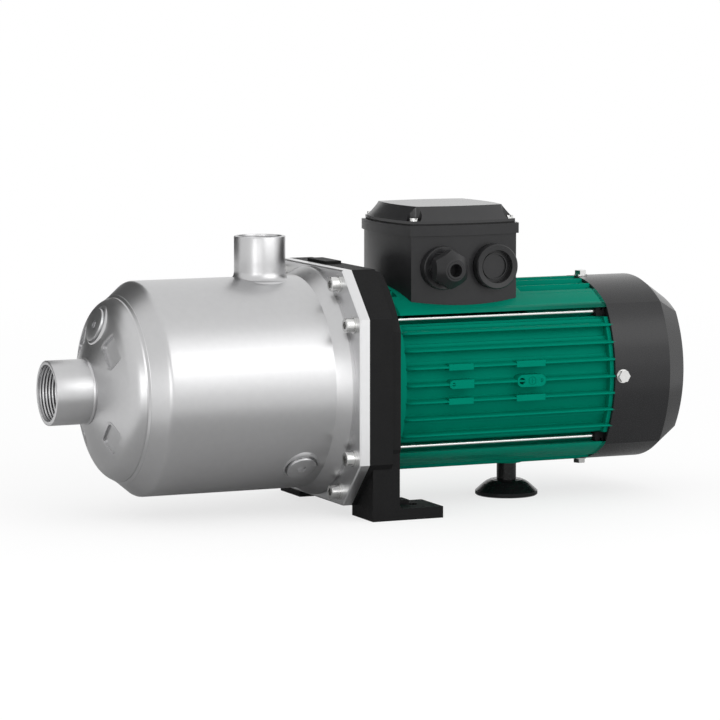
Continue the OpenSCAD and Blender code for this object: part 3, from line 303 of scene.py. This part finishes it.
def closeTree(tree, geometry, material):
    solid = addNode(tree, "GeometryNodeRealizeInstances", Geometry=geometry)
    solid = addNode(tree, "GeometryNodeSetMaterial", Geometry=solid.outputs[0], Material=material)
    out = tree.nodes.new("NodeGroupOutput")
    tree.links.new(solid.outputs[0], out.inputs[0])


def wrappedGrid(tree, around, along):
    # a sheet whose x and y run from 0 to 1, ready to be rolled up
    grid = addNode(tree, "GeometryNodeMeshGrid", Size_X=1.0, Size_Y=1.0, Vertices_X=around, Vertices_Y=along)
    spot = addNode(tree, "ShaderNodeSeparateXYZ", i0=addNode(tree, "GeometryNodeInputPosition").outputs[0])
    return grid.outputs[0], math2(tree, "ADD", spot.outputs[0], 0.5), math2(tree, "ADD", spot.outputs[1], 0.5)


def grow(name, tree, start, values):
    # runs the tree on a start mesh and keeps the result as a plain mesh
    holder = bpy.data.objects.new(name + "Holder", start)
    scene.collection.objects.link(holder)
    modifier = holder.modifiers.new("grow", "NODES")
    modifier.node_group = tree
    for item in tree.interface.items_tree:
        if item.item_type == "SOCKET" and item.in_out == "INPUT" and item.name in values:
            modifier[item.identifier] = values[item.name]
    holder.update_tag()
    ready = holder.evaluated_get(bpy.context.evaluated_depsgraph_get())
    mesh = bpy.data.meshes.new_from_object(ready)
    holder.modifiers.remove(modifier)
    bpy.data.objects.remove(holder)
    mesh.name = name
    return mesh


roundSteps = 96  # corners of a turned form in view


def quarterTurn(steps):
    # angles from 0 to 90 degrees
    return [math.pi / 2 * k / steps for k in range(steps + 1)]


def turned(profile, around, loop=False):
    # a mesh turned about z from (radius, height) pairs; a radius of 0 makes a pole
    form = bmesh.new()
    rings = []
    for radius, height in profile:
        steps = around if radius else 1
        rings.append([form.verts.new((radius * math.cos(math.tau * i / around),
                                      radius * math.sin(math.tau * i / around), height)) for i in range(steps)])
    pairs = list(zip(rings, rings[1:])) + ([(rings[-1], rings[0])] if loop else [])
    for one, two in pairs:
        for i in range(around):
            j = (i + 1) % around
            corners = [one[i % len(one)], one[j % len(one)], two[j % len(two)], two[i % len(two)]]
            kept = [v for k, v in enumerate(corners) if v not in corners[:k]]
            if len(kept) > 2:
                form.faces.new(kept)
    return form


def rod(radius, low, high):
    return turned([(0, low), (radius, low), (radius, high), (0, high)], roundSteps)


def finer(profile, step):
    # the same outline with more points on its long straights
    out = [profile[0]]
    for one, two in zip(profile, profile[1:]):
        count = max(1, round(math.dist(one, two) / step))
        out += [tuple(a + (b - a) * k / count for a, b in zip(one, two)) for k in range(1, count + 1)]
    return out


def prism(outline, low, high):
    # a straight block over a flat outline of (x, y) pairs
    form = bmesh.new()
    ends = [[form.verts.new((x, y, z)) for x, y in outline] for z in (low, high)]
    form.faces.new(ends[0][::-1])
    form.faces.new(ends[1])
    for i in range(len(outline)):
        j = (i + 1) % len(outline)
        form.faces.new((ends[0][i], ends[0][j], ends[1][j], ends[1][i]))
    return form


def roundedOutline(length, width, corner, steps=6):
    # a rectangle with round corners
    out = []
    for quarter, (sx, sy) in enumerate(((1, 1), (-1, 1), (-1, -1), (1, -1))):
        for k in range(steps + 1):
            turn = math.pi / 2 * (quarter + k / steps)
            out.append((sx * (length / 2 - corner) + corner * math.cos(turn),
                        sy * (width / 2 - corner) + corner * math.sin(turn)))
    return out


def moved(form, matrix):
    form.transform(matrix)
    bmesh.ops.remove_doubles(form, verts=form.verts, dist=0.001)
    bmesh.ops.recalc_face_normals(form, faces=form.faces)
    return form


def asMesh(name, form):
    mesh = bpy.data.meshes.new(name)
    form.to_mesh(mesh)
    return mesh


def carved(name, base, steps):
    # joins, cuts or keeps solids one after another and returns the plain mesh
    def asObject(form, label):
        item = bpy.data.objects.new(label, asMesh(label, form))
        scene.collection.objects.link(item)
        return item

    body = asObject(base, name + "Base")
    tools = []
    for operation, form in steps:
        tools.append(asObject(form, name + "Tool"))
        modifier = body.modifiers.new("step", "BOOLEAN")
        modifier.operation, modifier.solver, modifier.object = operation, "EXACT", tools[-1]
    mesh = bpy.data.meshes.new_from_object(body.evaluated_get(bpy.context.evaluated_depsgraph_get()))
    for item in tools + [body]:
        bpy.data.objects.remove(item)
    mesh.name = name
    return mesh


shaftHigh = 92.5
alongShaft = Matrix(((0, 0, 1, 0), (1, 0, 0, 0), (0, 1, 0, shaftHigh), (0, 0, 0, 1)))  # z runs along the shaft
toMetres = Matrix.Scale(0.001, 4)
mergeGap = 0.00002  # metres between points that count as one


def place(name, mesh, matrix, body, slotName, extra=None, crease=32):
    # closes the mesh, sets it in its place and hangs it on its body
    form = bmesh.new()
    form.from_mesh(mesh)
    if extra:
        form.from_mesh(asMesh(name + "Extra", extra))
    form.transform(matrix)
    bmesh.ops.remove_doubles(form, verts=form.verts, dist=mergeGap)
    bmesh.ops.recalc_face_normals(form, faces=form.faces)
    for face in form.faces:
        face.material_index = 0
        face.smooth = True
    form.to_mesh(mesh)
    mesh.materials.clear()
    mesh.materials.append(finishes[slotName])
    mesh.set_sharp_from_angle(angle=math.radians(crease))
    piece = bpy.data.objects.new(name, mesh)
    scene.collection.objects.link(piece)
    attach(piece, body)
    return piece


portSet = {
    # mouth place, way in, outer radius and edge, root, crest, pitch, start and length of the thread,
    # length of the wall, place of the weld line
    "start": 1.2, "weldHigh": 0.6, "weldWide": 2.6,
    "suction_port": {"mouth": (-250.09, 0, 92.5), "way": (1, 0, 0), "outer": 23.0, "edge": 0.6, "root": 20.0,
                     "crest": 19.5, "pitch": 2.309, "thread": 19.6, "length": 31.9, "weld": 28.2},
    "discharge_port": {"mouth": (-88.8, 0, 198.2), "way": (0, 0, -1), "outer": 18.4, "edge": 0.6, "root": 15.7,
                       "crest": 15.2, "pitch": 2.309, "thread": 15.0, "length": 19.6, "weld": 0},
}


def makeThreadTree(material):
    # a wall with one helical ridge that fades at both ends
    tree, size = newTree("threadedWall", {
        "Root": ("Float", 20.8), "Crest": ("Float", 19.5), "Pitch": ("Float", 2.309), "Length": ("Float", 19.6),
        "Start": ("Float", 1.2), "Around": ("Int", 97), "Along": ("Int", 96)})
    sheet, turn, run = wrappedGrid(tree, size["Around"], size["Along"])
    depthIn = math2(tree, "MULTIPLY", run, size["Length"])
    phase = math2(tree, "FRACT", math2(tree, "SUBTRACT", math2(tree, "DIVIDE", depthIn, size["Pitch"]), turn))
    ridge = math2(tree, "SUBTRACT", 1.0, math2(tree, "ABSOLUTE", math2(tree, "MULTIPLY_ADD", phase, 2.0, -1.0)))
    ridge = addNode(tree, "ShaderNodeMapRange", {"interpolation_type": "SMOOTHSTEP"}, Value=ridge,
                    i1=0.12, i2=0.88, i3=0.0, i4=1.0).outputs[0]
    mouthFade = math2(tree, "MINIMUM", math2(tree, "DIVIDE", depthIn, size["Pitch"]), 1.0)
    left = math2(tree, "SUBTRACT", size["Length"], depthIn)
    endFade = math2(tree, "MINIMUM", math2(tree, "DIVIDE", left, size["Pitch"]), 1.0)
    ridge = math2(tree, "MAXIMUM", math2(tree, "MULTIPLY", ridge, mouthFade), math2(tree, "SUBTRACT", 1.0, endFade))
    drop = math2(tree, "MULTIPLY", ridge, math2(tree, "SUBTRACT", size["Root"], size["Crest"]))
    radius = math2(tree, "SUBTRACT", size["Root"], drop)
    spot = roundPlace(tree, radius, turn, math2(tree, "ADD", depthIn, size["Start"]))
    wall = addNode(tree, "GeometryNodeSetPosition", Geometry=sheet, Position=spot)
    closeTree(tree, wall.outputs[0], material)
    return tree


def makePort(node, tree, around=roundSteps):
    port = portSet[node]
    start = portSet["start"]
    grown = grow(node, tree, bpy.data.meshes.new(node + "Start"), {
        "Root": port["root"], "Crest": port["crest"], "Pitch": port["pitch"], "Length": port["thread"],
        "Start": start, "Around": around + 1, "Along": int(port["thread"] / port["pitch"] * 12)})
    outer, edge, end = port["outer"], port["edge"], port["length"]
    profile = [(port["crest"], start + port["thread"]), (port["crest"], end), (outer, end)]
    if port["weld"]:
        at = port["weld"]
        profile += [(outer + portSet["weldHigh"] * math.sin(math.pi * k / 8),
                     at + portSet["weldWide"] * (0.5 - k / 8)) for k in range(9)]
    profile += [(outer, edge), (outer - edge * 0.3, edge * 0.3), (outer - edge, 0),
                (port["root"] * 1.5 - port["crest"] * 0.5, 0), (port["root"], start)]
    toPlace = Matrix.Translation(Vector(port["mouth"]) * 0.001) @ \
        Vector(port["way"]).to_track_quat("Z", "Y").to_matrix().to_4x4() @ toMetres
    piece = place("threaded_" + node, grown, toPlace, "pump_frame", "stainless", turned(profile, around))
    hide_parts(node)


threadTree = makeThreadTree(finishes["stainless"])
for node in ("suction_port", "discharge_port"):
    makePort(node, threadTree)
print("stage: ports threaded")


casingSet = {
    # outline from the suction port to the flange as (radius, x), and the places on it
    "wall": 2.0,
    "slim": (0.9, 0.4),      # how far the hollow draws in and back past the dish, in walls
    "line": [(23, -221.2), (55, -209.26), (56.6, -208.6), (58.1, -207.8), (59.5, -206.9), (60.8, -205.9),
             (61.9, -204.8), (62.9, -203.6), (63.7, -202.4), (64.3, -201.2), (65.2, -199.6), (65.2, -198.25),
             (66.9, -196.9), (66.9, -196.6), (75.14, -186.64), (75.93, -185.6), (76.43, -184.4), (76.6, -183.1),
             (76.6, -62), (80.07, -56.33), (82.2, -52), (82.2, -49.4)],
    "around": 192, "crease": 26,
    "pad": {"across": 20, "deep": 14.5, "corner": 3, "at": 43.5, "depth": 2, "skin": 0.3, "clear": 8},
    "fill": {"at": 46.2, "hole": 12.8},
    "drain": {"x": -80, "down": 45, "hole": 11.6},
    "discharge": {"x": -88.8, "outer": 18.4, "hole": 16.4, "top": 86.1, "flare": (4.5, 6.5), "sunk": 2.4},
    "mound": {"wide": 4.6, "deep": 2.4, "rise": 0.7},
}


def mound(radius):
    # a soft rise of the sheet round a plug
    shape = casingSet["mound"]
    steps = [(radius + shape["wide"] * (1 - k / 8),
              (shape["rise"] + shape["deep"]) * (k / 8) ** 2 * (3 - k / 4) - shape["deep"]) for k in range(9)]
    return turned([(0, -shape["deep"] - 1), (radius + shape["wide"], -shape["deep"] - 1)] + steps
                  + [(0, shape["rise"])], roundSteps)


def makeCasing():
    line = casingSet["line"]
    around = casingSet["around"]
    wall = casingSet["wall"]
    tilt = math.atan2(line[1][1] - line[0][1], line[1][0] - line[0][0])
    startX, endX = line[0][1], line[-1][1]

    def solid(outline):
        fine = finer(outline, 5)
        return moved(turned([(0, fine[0][1])] + fine + [(0, fine[-1][1])], around), alongShaft)

    def atDish(distance):
        # the frame on the dish at this height above the shaft, z along its normal
        return Matrix.Translation((startX + (distance - line[0][0]) * math.tan(tilt), 0, shaftHigh + distance)) @ \
            Matrix.Rotation(tilt - math.pi / 2, 4, "Y")

    slim, shift = casingSet["slim"]
    inner = [(r - (0 if k == 0 else wall * slim), x + (wall if k < 2 else wall * shift))
             for k, (r, x) in enumerate(line)]
    inner[-1] = (inner[-1][0], endX + 1)
    drain = casingSet["drain"]
    atDrain = Matrix.Translation((drain["x"], 0, shaftHigh)) @ \
        Matrix.Rotation(math.radians(90 + drain["down"]), 4, "X")
    port = casingSet["discharge"]
    barrel = line[-4][0]
    flareWide, flareHigh = port["flare"]
    flare = [(port["outer"] + flareWide * (1 - math.sin(a)), barrel - port["sunk"] + flareHigh * (1 - math.cos(a)))
             for a in quarterTurn(12)]
    atPort = Matrix.Translation((port["x"], 0, shaftHigh))
    collar = moved(turned([(0, barrel - 6), (port["outer"] + 7.5, barrel - 6)] + flare
                          + [(port["outer"], port["top"]), (0, port["top"])], roundSteps), atPort)
    steps = [("UNION", collar),
             ("UNION", moved(mound(drain["hole"]), atDrain @ Matrix.Translation((0, 0, barrel)))),
             ("UNION", moved(mound(casingSet["fill"]["hole"]), atDish(casingSet["fill"]["at"]))),
             ("DIFFERENCE", solid(inner)),
             ("DIFFERENCE", moved(rod(line[0][0], startX - 9, startX + 9), alongShaft))]
    pad = casingSet["pad"]
    outer = roundedOutline(pad["deep"] + 2 * wall, pad["across"] + 2 * wall, pad["corner"] + wall)
    shape = roundedOutline(pad["deep"], pad["across"], pad["corner"])
    cuts = []
    for quarter in range(4):
        turn = alongShaft @ Matrix.Rotation(math.radians(45 + 90 * quarter), 4, "Z") @ \
            Matrix.Translation((pad["at"], 0, startX + (pad["at"] - line[0][0]) * math.tan(tilt))) @ \
            Matrix.Rotation(-tilt, 4, "Y")
        steps.append(("UNION", moved(prism(outer, pad["skin"], pad["depth"] + wall), turn)))
        cuts.append(("DIFFERENCE", moved(prism(shape, -pad["clear"], pad["depth"]), turn)))
    steps += cuts
    for matrix, hole, high in ((atDrain, drain["hole"], barrel + 10), (atPort, port["hole"], port["top"] + 1)):
        steps.append(("DIFFERENCE", moved(rod(hole, 40, high), matrix)))
    hole = casingSet["fill"]["hole"]
    steps.append(("DIFFERENCE", moved(rod(hole, -9, 16), atDish(casingSet["fill"]["at"]))))
    mesh = carved("casing_shell", solid(line), steps)
    piece = place("casing_shell", mesh, toMetres, "pump_frame", "stainless", crease=casingSet["crease"])
    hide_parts("pump_casing")
    return atDish(casingSet["fill"]["at"]), atDrain @ Matrix.Translation((0, 0, barrel))


plugSet = {
    "fill": {"head": 12.0, "boss": 12.8, "rise": 0.7, "tall": 1.8},
    "drain": {"head": 10.8, "boss": 11.6, "rise": 0.7, "tall": 2.1},
    "hexIn": 5, "hex": 6, "seal": 8.5, "sealDeep": 0.8, "bore": 6.5, "deep": 8, "edge": 0.5, "clear": 0.1,
}


def hexOutline(flats, turn=0.0):
    return [(flats / math.sqrt(3) * math.cos(math.tau * (k + turn) / 6),
             flats / math.sqrt(3) * math.sin(math.tau * (k + turn) / 6)) for k in range(6)]


def makePlug(name, matrix):
    # the boss ring stays on the casing; the seal and the head leave with the plug
    sizes = plugSet[name]
    bore, clear, deep, edge = (plugSet[key] for key in ("bore", "clear", "deep", "edge"))
    boss, head, rise, tall = (sizes[key] for key in ("boss", "head", "rise", "tall"))
    seal, seat = plugSet["seal"], rise - plugSet["sealDeep"]
    ring = turned([(bore, -deep), (boss, -deep), (boss, rise - 0.3), (boss - 0.3, rise), (seal + clear, rise),
                   (seal + clear, seat), (bore, seat)], roundSteps, loop=True)
    piece = place(name + "_boss_ring", asMesh(name, moved(ring, matrix)), toMetres, "pump_frame", "stainless")
    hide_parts(name + "_boss")
    ring = turned([(bore, seat), (seal, seat), (seal, rise - clear), (bore, rise - clear)], roundSteps, loop=True)
    piece = place(name + "_seal_ring", asMesh(name, moved(ring, matrix)), toMetres, name + "_plug_body", "rubber")
    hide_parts(name + "_plug_seal")
    onSeat = matrix @ Matrix.Translation((0, 0, rise))
    body = turned([(0, -deep), (bore - clear, -deep), (bore - clear, 0), (head, 0), (head, tall - edge),
                   (head - edge * 0.3, tall - edge * 0.3), (head - edge, tall), (0, tall)], roundSteps)
    recess = prism(hexOutline(plugSet["hex"]), tall - plugSet["hexIn"], tall + 2)
    mesh = carved(name, moved(body, onSeat), [("DIFFERENCE", moved(recess, onSeat))])
    piece = place(name + "_plug_head", mesh, toMetres, name + "_plug_body", "stainless")
    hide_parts(name + "_plug")


for name, matrix in zip(("fill", "drain"), makeCasing()):
    makePlug(name, matrix)
print("stage: casing and plugs shaped")


housingSet = {
    # millimetres, measured from the shaft axis; x runs along the shaft
    "x": (-17, 163), "arc": 90, "offset": 22, "root": 82, "bore": 56,
    "band": {"end": -2.5, "arc": 87}, "wall": {"start": 160, "arc": 87.4},
    "seat": {"x": (3.7, 102.3), "half": 49.3},
    "channel": {"in": 41.4, "low": 42.4, "high": 49.5}, "strip": 34,
    "fin": {"count": 7, "pitch": 12.3, "sides": 4, "under": 0.1, "tip": 1.5, "foot": 3.4, "fillet": 2.4,
            "edge": (0.25, 0.3), "footAt": -6.6, "root": -8, "deep": 10.5, "start": -5.5, "end": 162.6,
            "rise": 7, "startLow": 5.0},
    "pads": [{"x": (29.6, 49), "high": 6.2, "holes": [(33, 1.3)], "rounded": (True, False)},
             {"x": (83.4, 106.4), "high": 8.8, "holes": [(87.3, 2.4), (103, 1.1)], "rounded": (True, True),
              "mark": {"at": 95.3, "inner": 2.5, "outer": 3.1, "deep": 0.4, "bar": (1.7, 0.16)}}],
    "padFace": 68.2, "padFoot": 55, "padHole": 5,
    "tabs": {"half": 2.2, "out": 0.25},
    "stem": {"x": 108, "hole": 5.1, "radius": 11.2, "from": -56, "to": -68},
}


def bulge(arc, across):
    # how far the bulged side stands out at a distance from its middle
    return math.sqrt(arc * arc - across * across) - housingSet["offset"]


def roundOutline(radius, around=32):
    return [(radius * math.cos(math.tau * k / around), radius * math.sin(math.tau * k / around))
            for k in range(around)]


def barrelOutline(sideArc, topArc):
    # one quarter of the outline from the middle of a side to the middle of the top, then mirrored round
    channel, strip, arc = housingSet["channel"], housingSet["strip"], housingSet["arc"]
    corner = (math.sqrt(2 * arc ** 2 - housingSet["offset"] ** 2) - housingSet["offset"]) / 2
    quarter = [(bulge(sideArc, z), z) for z in (channel["low"] * k / 8 for k in range(9))]
    quarter += [(channel["in"], channel["low"]), (channel["in"], channel["high"])]
    quarter += [(bulge(arc, channel["high"]), channel["high"]), (corner, corner)]
    quarter += [(y, bulge(arc, y)) for y in (corner + (strip - corner) * k / 6 for k in range(1, 7))]
    quarter += [(y, bulge(topArc, y)) for y in (strip * (1 - k / 6) for k in range(7))]
    rest = [(-y, z) for y, z in quarter[-2::-1]]
    upper = quarter + rest
    return upper + [(y, -z) for y, z in upper[-2:0:-1]]


def tube(outline, low, high, inner):
    # a straight tube between an outline and a round bore
    form = bmesh.new()
    loops = []
    for z in (low, high):
        loops.append([form.verts.new((x, y, z)) for x, y in outline])
        loops.append([form.verts.new((x * inner / math.hypot(x, y), y * inner / math.hypot(x, y), z))
                      for x, y in outline])
    for one, two in ((0, 2), (2, 3), (3, 1), (1, 0)):
        for i in range(len(outline)):
            j = (i + 1) % len(outline)
            form.faces.new((loops[one][i], loops[one][j], loops[two][j], loops[two][i]))
    return form


def makeFinTree(material):
    # rows of ribs on the four bulged sides; the start mesh is one rib with its tip at height zero
    fin = housingSet["fin"]
    tree, size = newTree("coolingRibs", {
        "Count": ("Int", fin["count"]), "Pitch": ("Float", fin["pitch"]), "Arc": ("Float", housingSet["arc"]),
        "Offset": ("Float", housingSet["offset"]), "Sides": ("Int", fin["sides"])})
    row = addNode(tree, "GeometryNodeMeshLine", Count=size["Count"])
    number = addNode(tree, "GeometryNodeInputIndex").outputs[0]
    middle = math2(tree, "MULTIPLY", math2(tree, "SUBTRACT", size["Count"], 1.0), 0.5)
    across = math2(tree, "MULTIPLY", math2(tree, "SUBTRACT", number, middle), size["Pitch"])
    square = math2(tree, "SUBTRACT", math2(tree, "MULTIPLY", size["Arc"], size["Arc"]),
                   math2(tree, "MULTIPLY", across, across))
    out = math2(tree, "SUBTRACT", math2(tree, "SQRT", square), size["Offset"])
    spot = addNode(tree, "ShaderNodeCombineXYZ", X=out, Y=across, Z=0.0)
    row = addNode(tree, "GeometryNodeSetPosition", Geometry=row.outputs[0], Position=spot.outputs[0])
    side = addNode(tree, "GeometryNodeInstanceOnPoints", Points=row.outputs[0], Instance=size["Geometry"])
    hub = addNode(tree, "GeometryNodeMeshLine", Count=size["Sides"])
    centre = addNode(tree, "GeometryNodeSetPosition", Geometry=hub.outputs[0], Position=(0.0, 0.0, 0.0))
    turn = addNode(tree, "ShaderNodeCombineXYZ",
                   Z=math2(tree, "DIVIDE", math2(tree, "MULTIPLY", number, math.tau), size["Sides"]))
    allSides = addNode(tree, "GeometryNodeInstanceOnPoints", Points=centre.outputs[0], Instance=side.outputs[0],
                       Rotation=turn.outputs[0])
    closeTree(tree, allSides.outputs[0], material)
    return tree


def makeRib():
    # one rib along z: a tapered section with a filleted foot, rising from the band at its start
    fin = housingSet["fin"]
    fillet, tip, foot, deep = fin["fillet"], fin["tip"] / 2, fin["foot"] / 2, fin["deep"]
    edgeIn, edgeDown = fin["edge"]
    half = [(0, tip - edgeIn), (-edgeDown, tip), (fin["footAt"], foot)]
    half += [(fin["root"] + fillet * (1 - math.sin(a)), foot + fillet * (1 - math.cos(a)))
             for a in quarterTurn(4)[1:]] + [(-deep, foot + fillet)]
    section = half + [(x, -y) for x, y in half[::-1]]
    form = bmesh.new()
    rings = []
    for a in quarterTurn(8):
        low, z = fin["startLow"] * (1 - math.sin(a)), fin["start"] + fin["rise"] * (1 - math.cos(a))
        rings.append([form.verts.new((x - low, y, z)) for x, y in section])
    rings.append([form.verts.new((x, y, fin["end"])) for x, y in section])
    for one, two in zip(rings, rings[1:]):
        for i in range(len(section)):
            j = (i + 1) % len(section)
            form.faces.new((one[i], one[j], two[j], two[i]))
    form.faces.new(rings[0][::-1])
    form.faces.new(rings[-1])
    bmesh.ops.recalc_face_normals(form, faces=form.faces)
    return asMesh("rib", form)


def padBlock(pad, face):
    # a flat pad with its holes and, on one, the round mark; its outline runs across and along the shaft
    start, end = pad["x"]
    tall = pad["high"] / 2
    outline = []
    for at, rounded, way in ((end, pad["rounded"][1], 1), (start, pad["rounded"][0], -1)):
        reach = tall if rounded else 0
        outline += [(way * tall * math.cos(a), at + way * reach * (math.sin(a) - 1))
                    for a in (math.radians(15 * k) for k in range(13))]
    outline = [spot for k, spot in enumerate(outline) if k == 0 or spot != outline[k - 1]]
    cuts = [("DIFFERENCE", moved(prism(roundOutline(radius), face - housingSet["padHole"], face + 1),
                                 Matrix.Translation((0, at, 0)))) for at, radius in pad["holes"]]
    if "mark" in pad:
        mark = pad["mark"]
        middle, low, high = Matrix.Translation((0, mark["at"], 0)), face - mark["deep"], face + 1
        ring = turned([(mark["inner"], low), (mark["outer"], low), (mark["outer"], high), (mark["inner"], high)],
                      48, loop=True)
        cuts.append(("DIFFERENCE", moved(ring, middle)))
        long, wide = mark["bar"]
        for turn in (0, 90):
            bar = prism([(-long, -wide), (long, -wide), (long, wide), (-long, wide)], low, high)
            cuts.append(("DIFFERENCE", moved(bar, middle @ Matrix.Rotation(math.radians(turn), 4, "Z"))))
    block = bmesh.new()
    block.from_mesh(carved("pad", prism(outline, 0, face), cuts))
    return block


def makeHousing():
    shape = housingSet
    fin, seat, stem, tabs = shape["fin"], shape["seat"], shape["stem"], shape["tabs"]
    outer = shape["arc"] - fin["under"]
    low, high = shape["x"]
    solids = [tube(barrelOutline(arc, arc), start, end, shape["bore"]) for arc, start, end in (
        (shape["root"], low, high), (shape["band"]["arc"], low, shape["band"]["end"]),
        (shape["wall"]["arc"], shape["wall"]["start"], high))]
    half = [(y, bulge(shape["arc"], y)) for y in (seat["half"] * k / 10 for k in range(-10, 11))]
    foot = shape["channel"]["high"]
    solids.append(prism([(seat["half"], foot)] + half[::-1] + [(-seat["half"], foot)], *seat["x"]))
    for side in (1, -1):
        onSide = Matrix(((0, 0, side, shape["padFoot"] * side), (1, 0, 0, 0), (0, 1, 0, 0), (0, 0, 0, 1)))
        for pad in shape["pads"]:
            start, end = pad["x"]
            blocks = [padBlock(pad, shape["padFace"] - shape["padFoot"])]
            out = bulge(outer, fin["pitch"]) + tabs["out"]
            for row in (-1, 1):
                blocks.append(prism([(row * fin["pitch"] + q * tabs["half"], z)
                                     for q, z in ((-1, start), (1, start), (1, end), (-1, end))],
                                    0, out - shape["padFoot"]))
            for block in blocks:
                block.transform(onSide)
                solids.append(block)
    boss = turned([(stem["hole"], stem["from"]), (stem["radius"], stem["from"]), (stem["radius"], stem["to"]),
                   (stem["hole"], stem["to"])], 64, loop=True)
    boss.transform(Matrix(((1, 0, 0, 0), (0, 0, 1, 0), (0, -1, 0, stem["x"]), (0, 0, 0, 1))))
    solids.append(boss)
    ribs = grow("coolingRibs", makeFinTree(finishes["green_paint"]), makeRib(),
                {"Count": fin["count"], "Pitch": fin["pitch"], "Arc": outer, "Offset": shape["offset"],
                 "Sides": fin["sides"]})
    form = bmesh.new()
    for solid in solids:
        bmesh.ops.recalc_face_normals(solid, faces=solid.faces)
        form.from_mesh(asMesh("part", solid))
    form.from_mesh(ribs)
    piece = place("finned_housing", asMesh("finned_housing", form), toMetres @ alongShaft, "pump_frame",
                  "green_paint")
    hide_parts("motor_housing")


makeHousing()
print("stage: housing ribbed")


glandSet = {"at": (33, -56.65, 174.5), "flats": 24.5, "long": 14.4, "hole": 4.7, "deep": 11,
            "turned": [(0, 0), (13.2, 0), (14.1, 0.9), (14.1, 6.6), (12.2, 8.8), (7.8, 13.8), (6.5, 13.9),
                       (6.2, 14.4), (0, 14.4)]}


def makeGlandNut():
    # a hexagon whose front is turned down to a cone with a rim round the cable hole
    long = glandSet["long"]
    still = Matrix.Identity(4)
    hole = prism(roundOutline(glandSet["hole"], 48), long - glandSet["deep"], long + 1)
    mesh = carved("gland", moved(prism(hexOutline(glandSet["flats"], 0.5), -0.5, long + 0.5), still),
                  [("INTERSECT", moved(turned(glandSet["turned"], 72), still)), ("DIFFERENCE", moved(hole, still))])
    towardFront = Matrix(((1, 0, 0, 0), (0, 0, -1, 0), (0, 1, 0, 0), (0, 0, 0, 1)))
    piece = place("domed_gland_nut", mesh, toMetres @ Matrix.Translation(glandSet["at"]) @ towardFront,
                  "pump_frame", "grey_box")
    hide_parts("gland_nut")


makeGlandNut()
print("stage: gland nut turned")
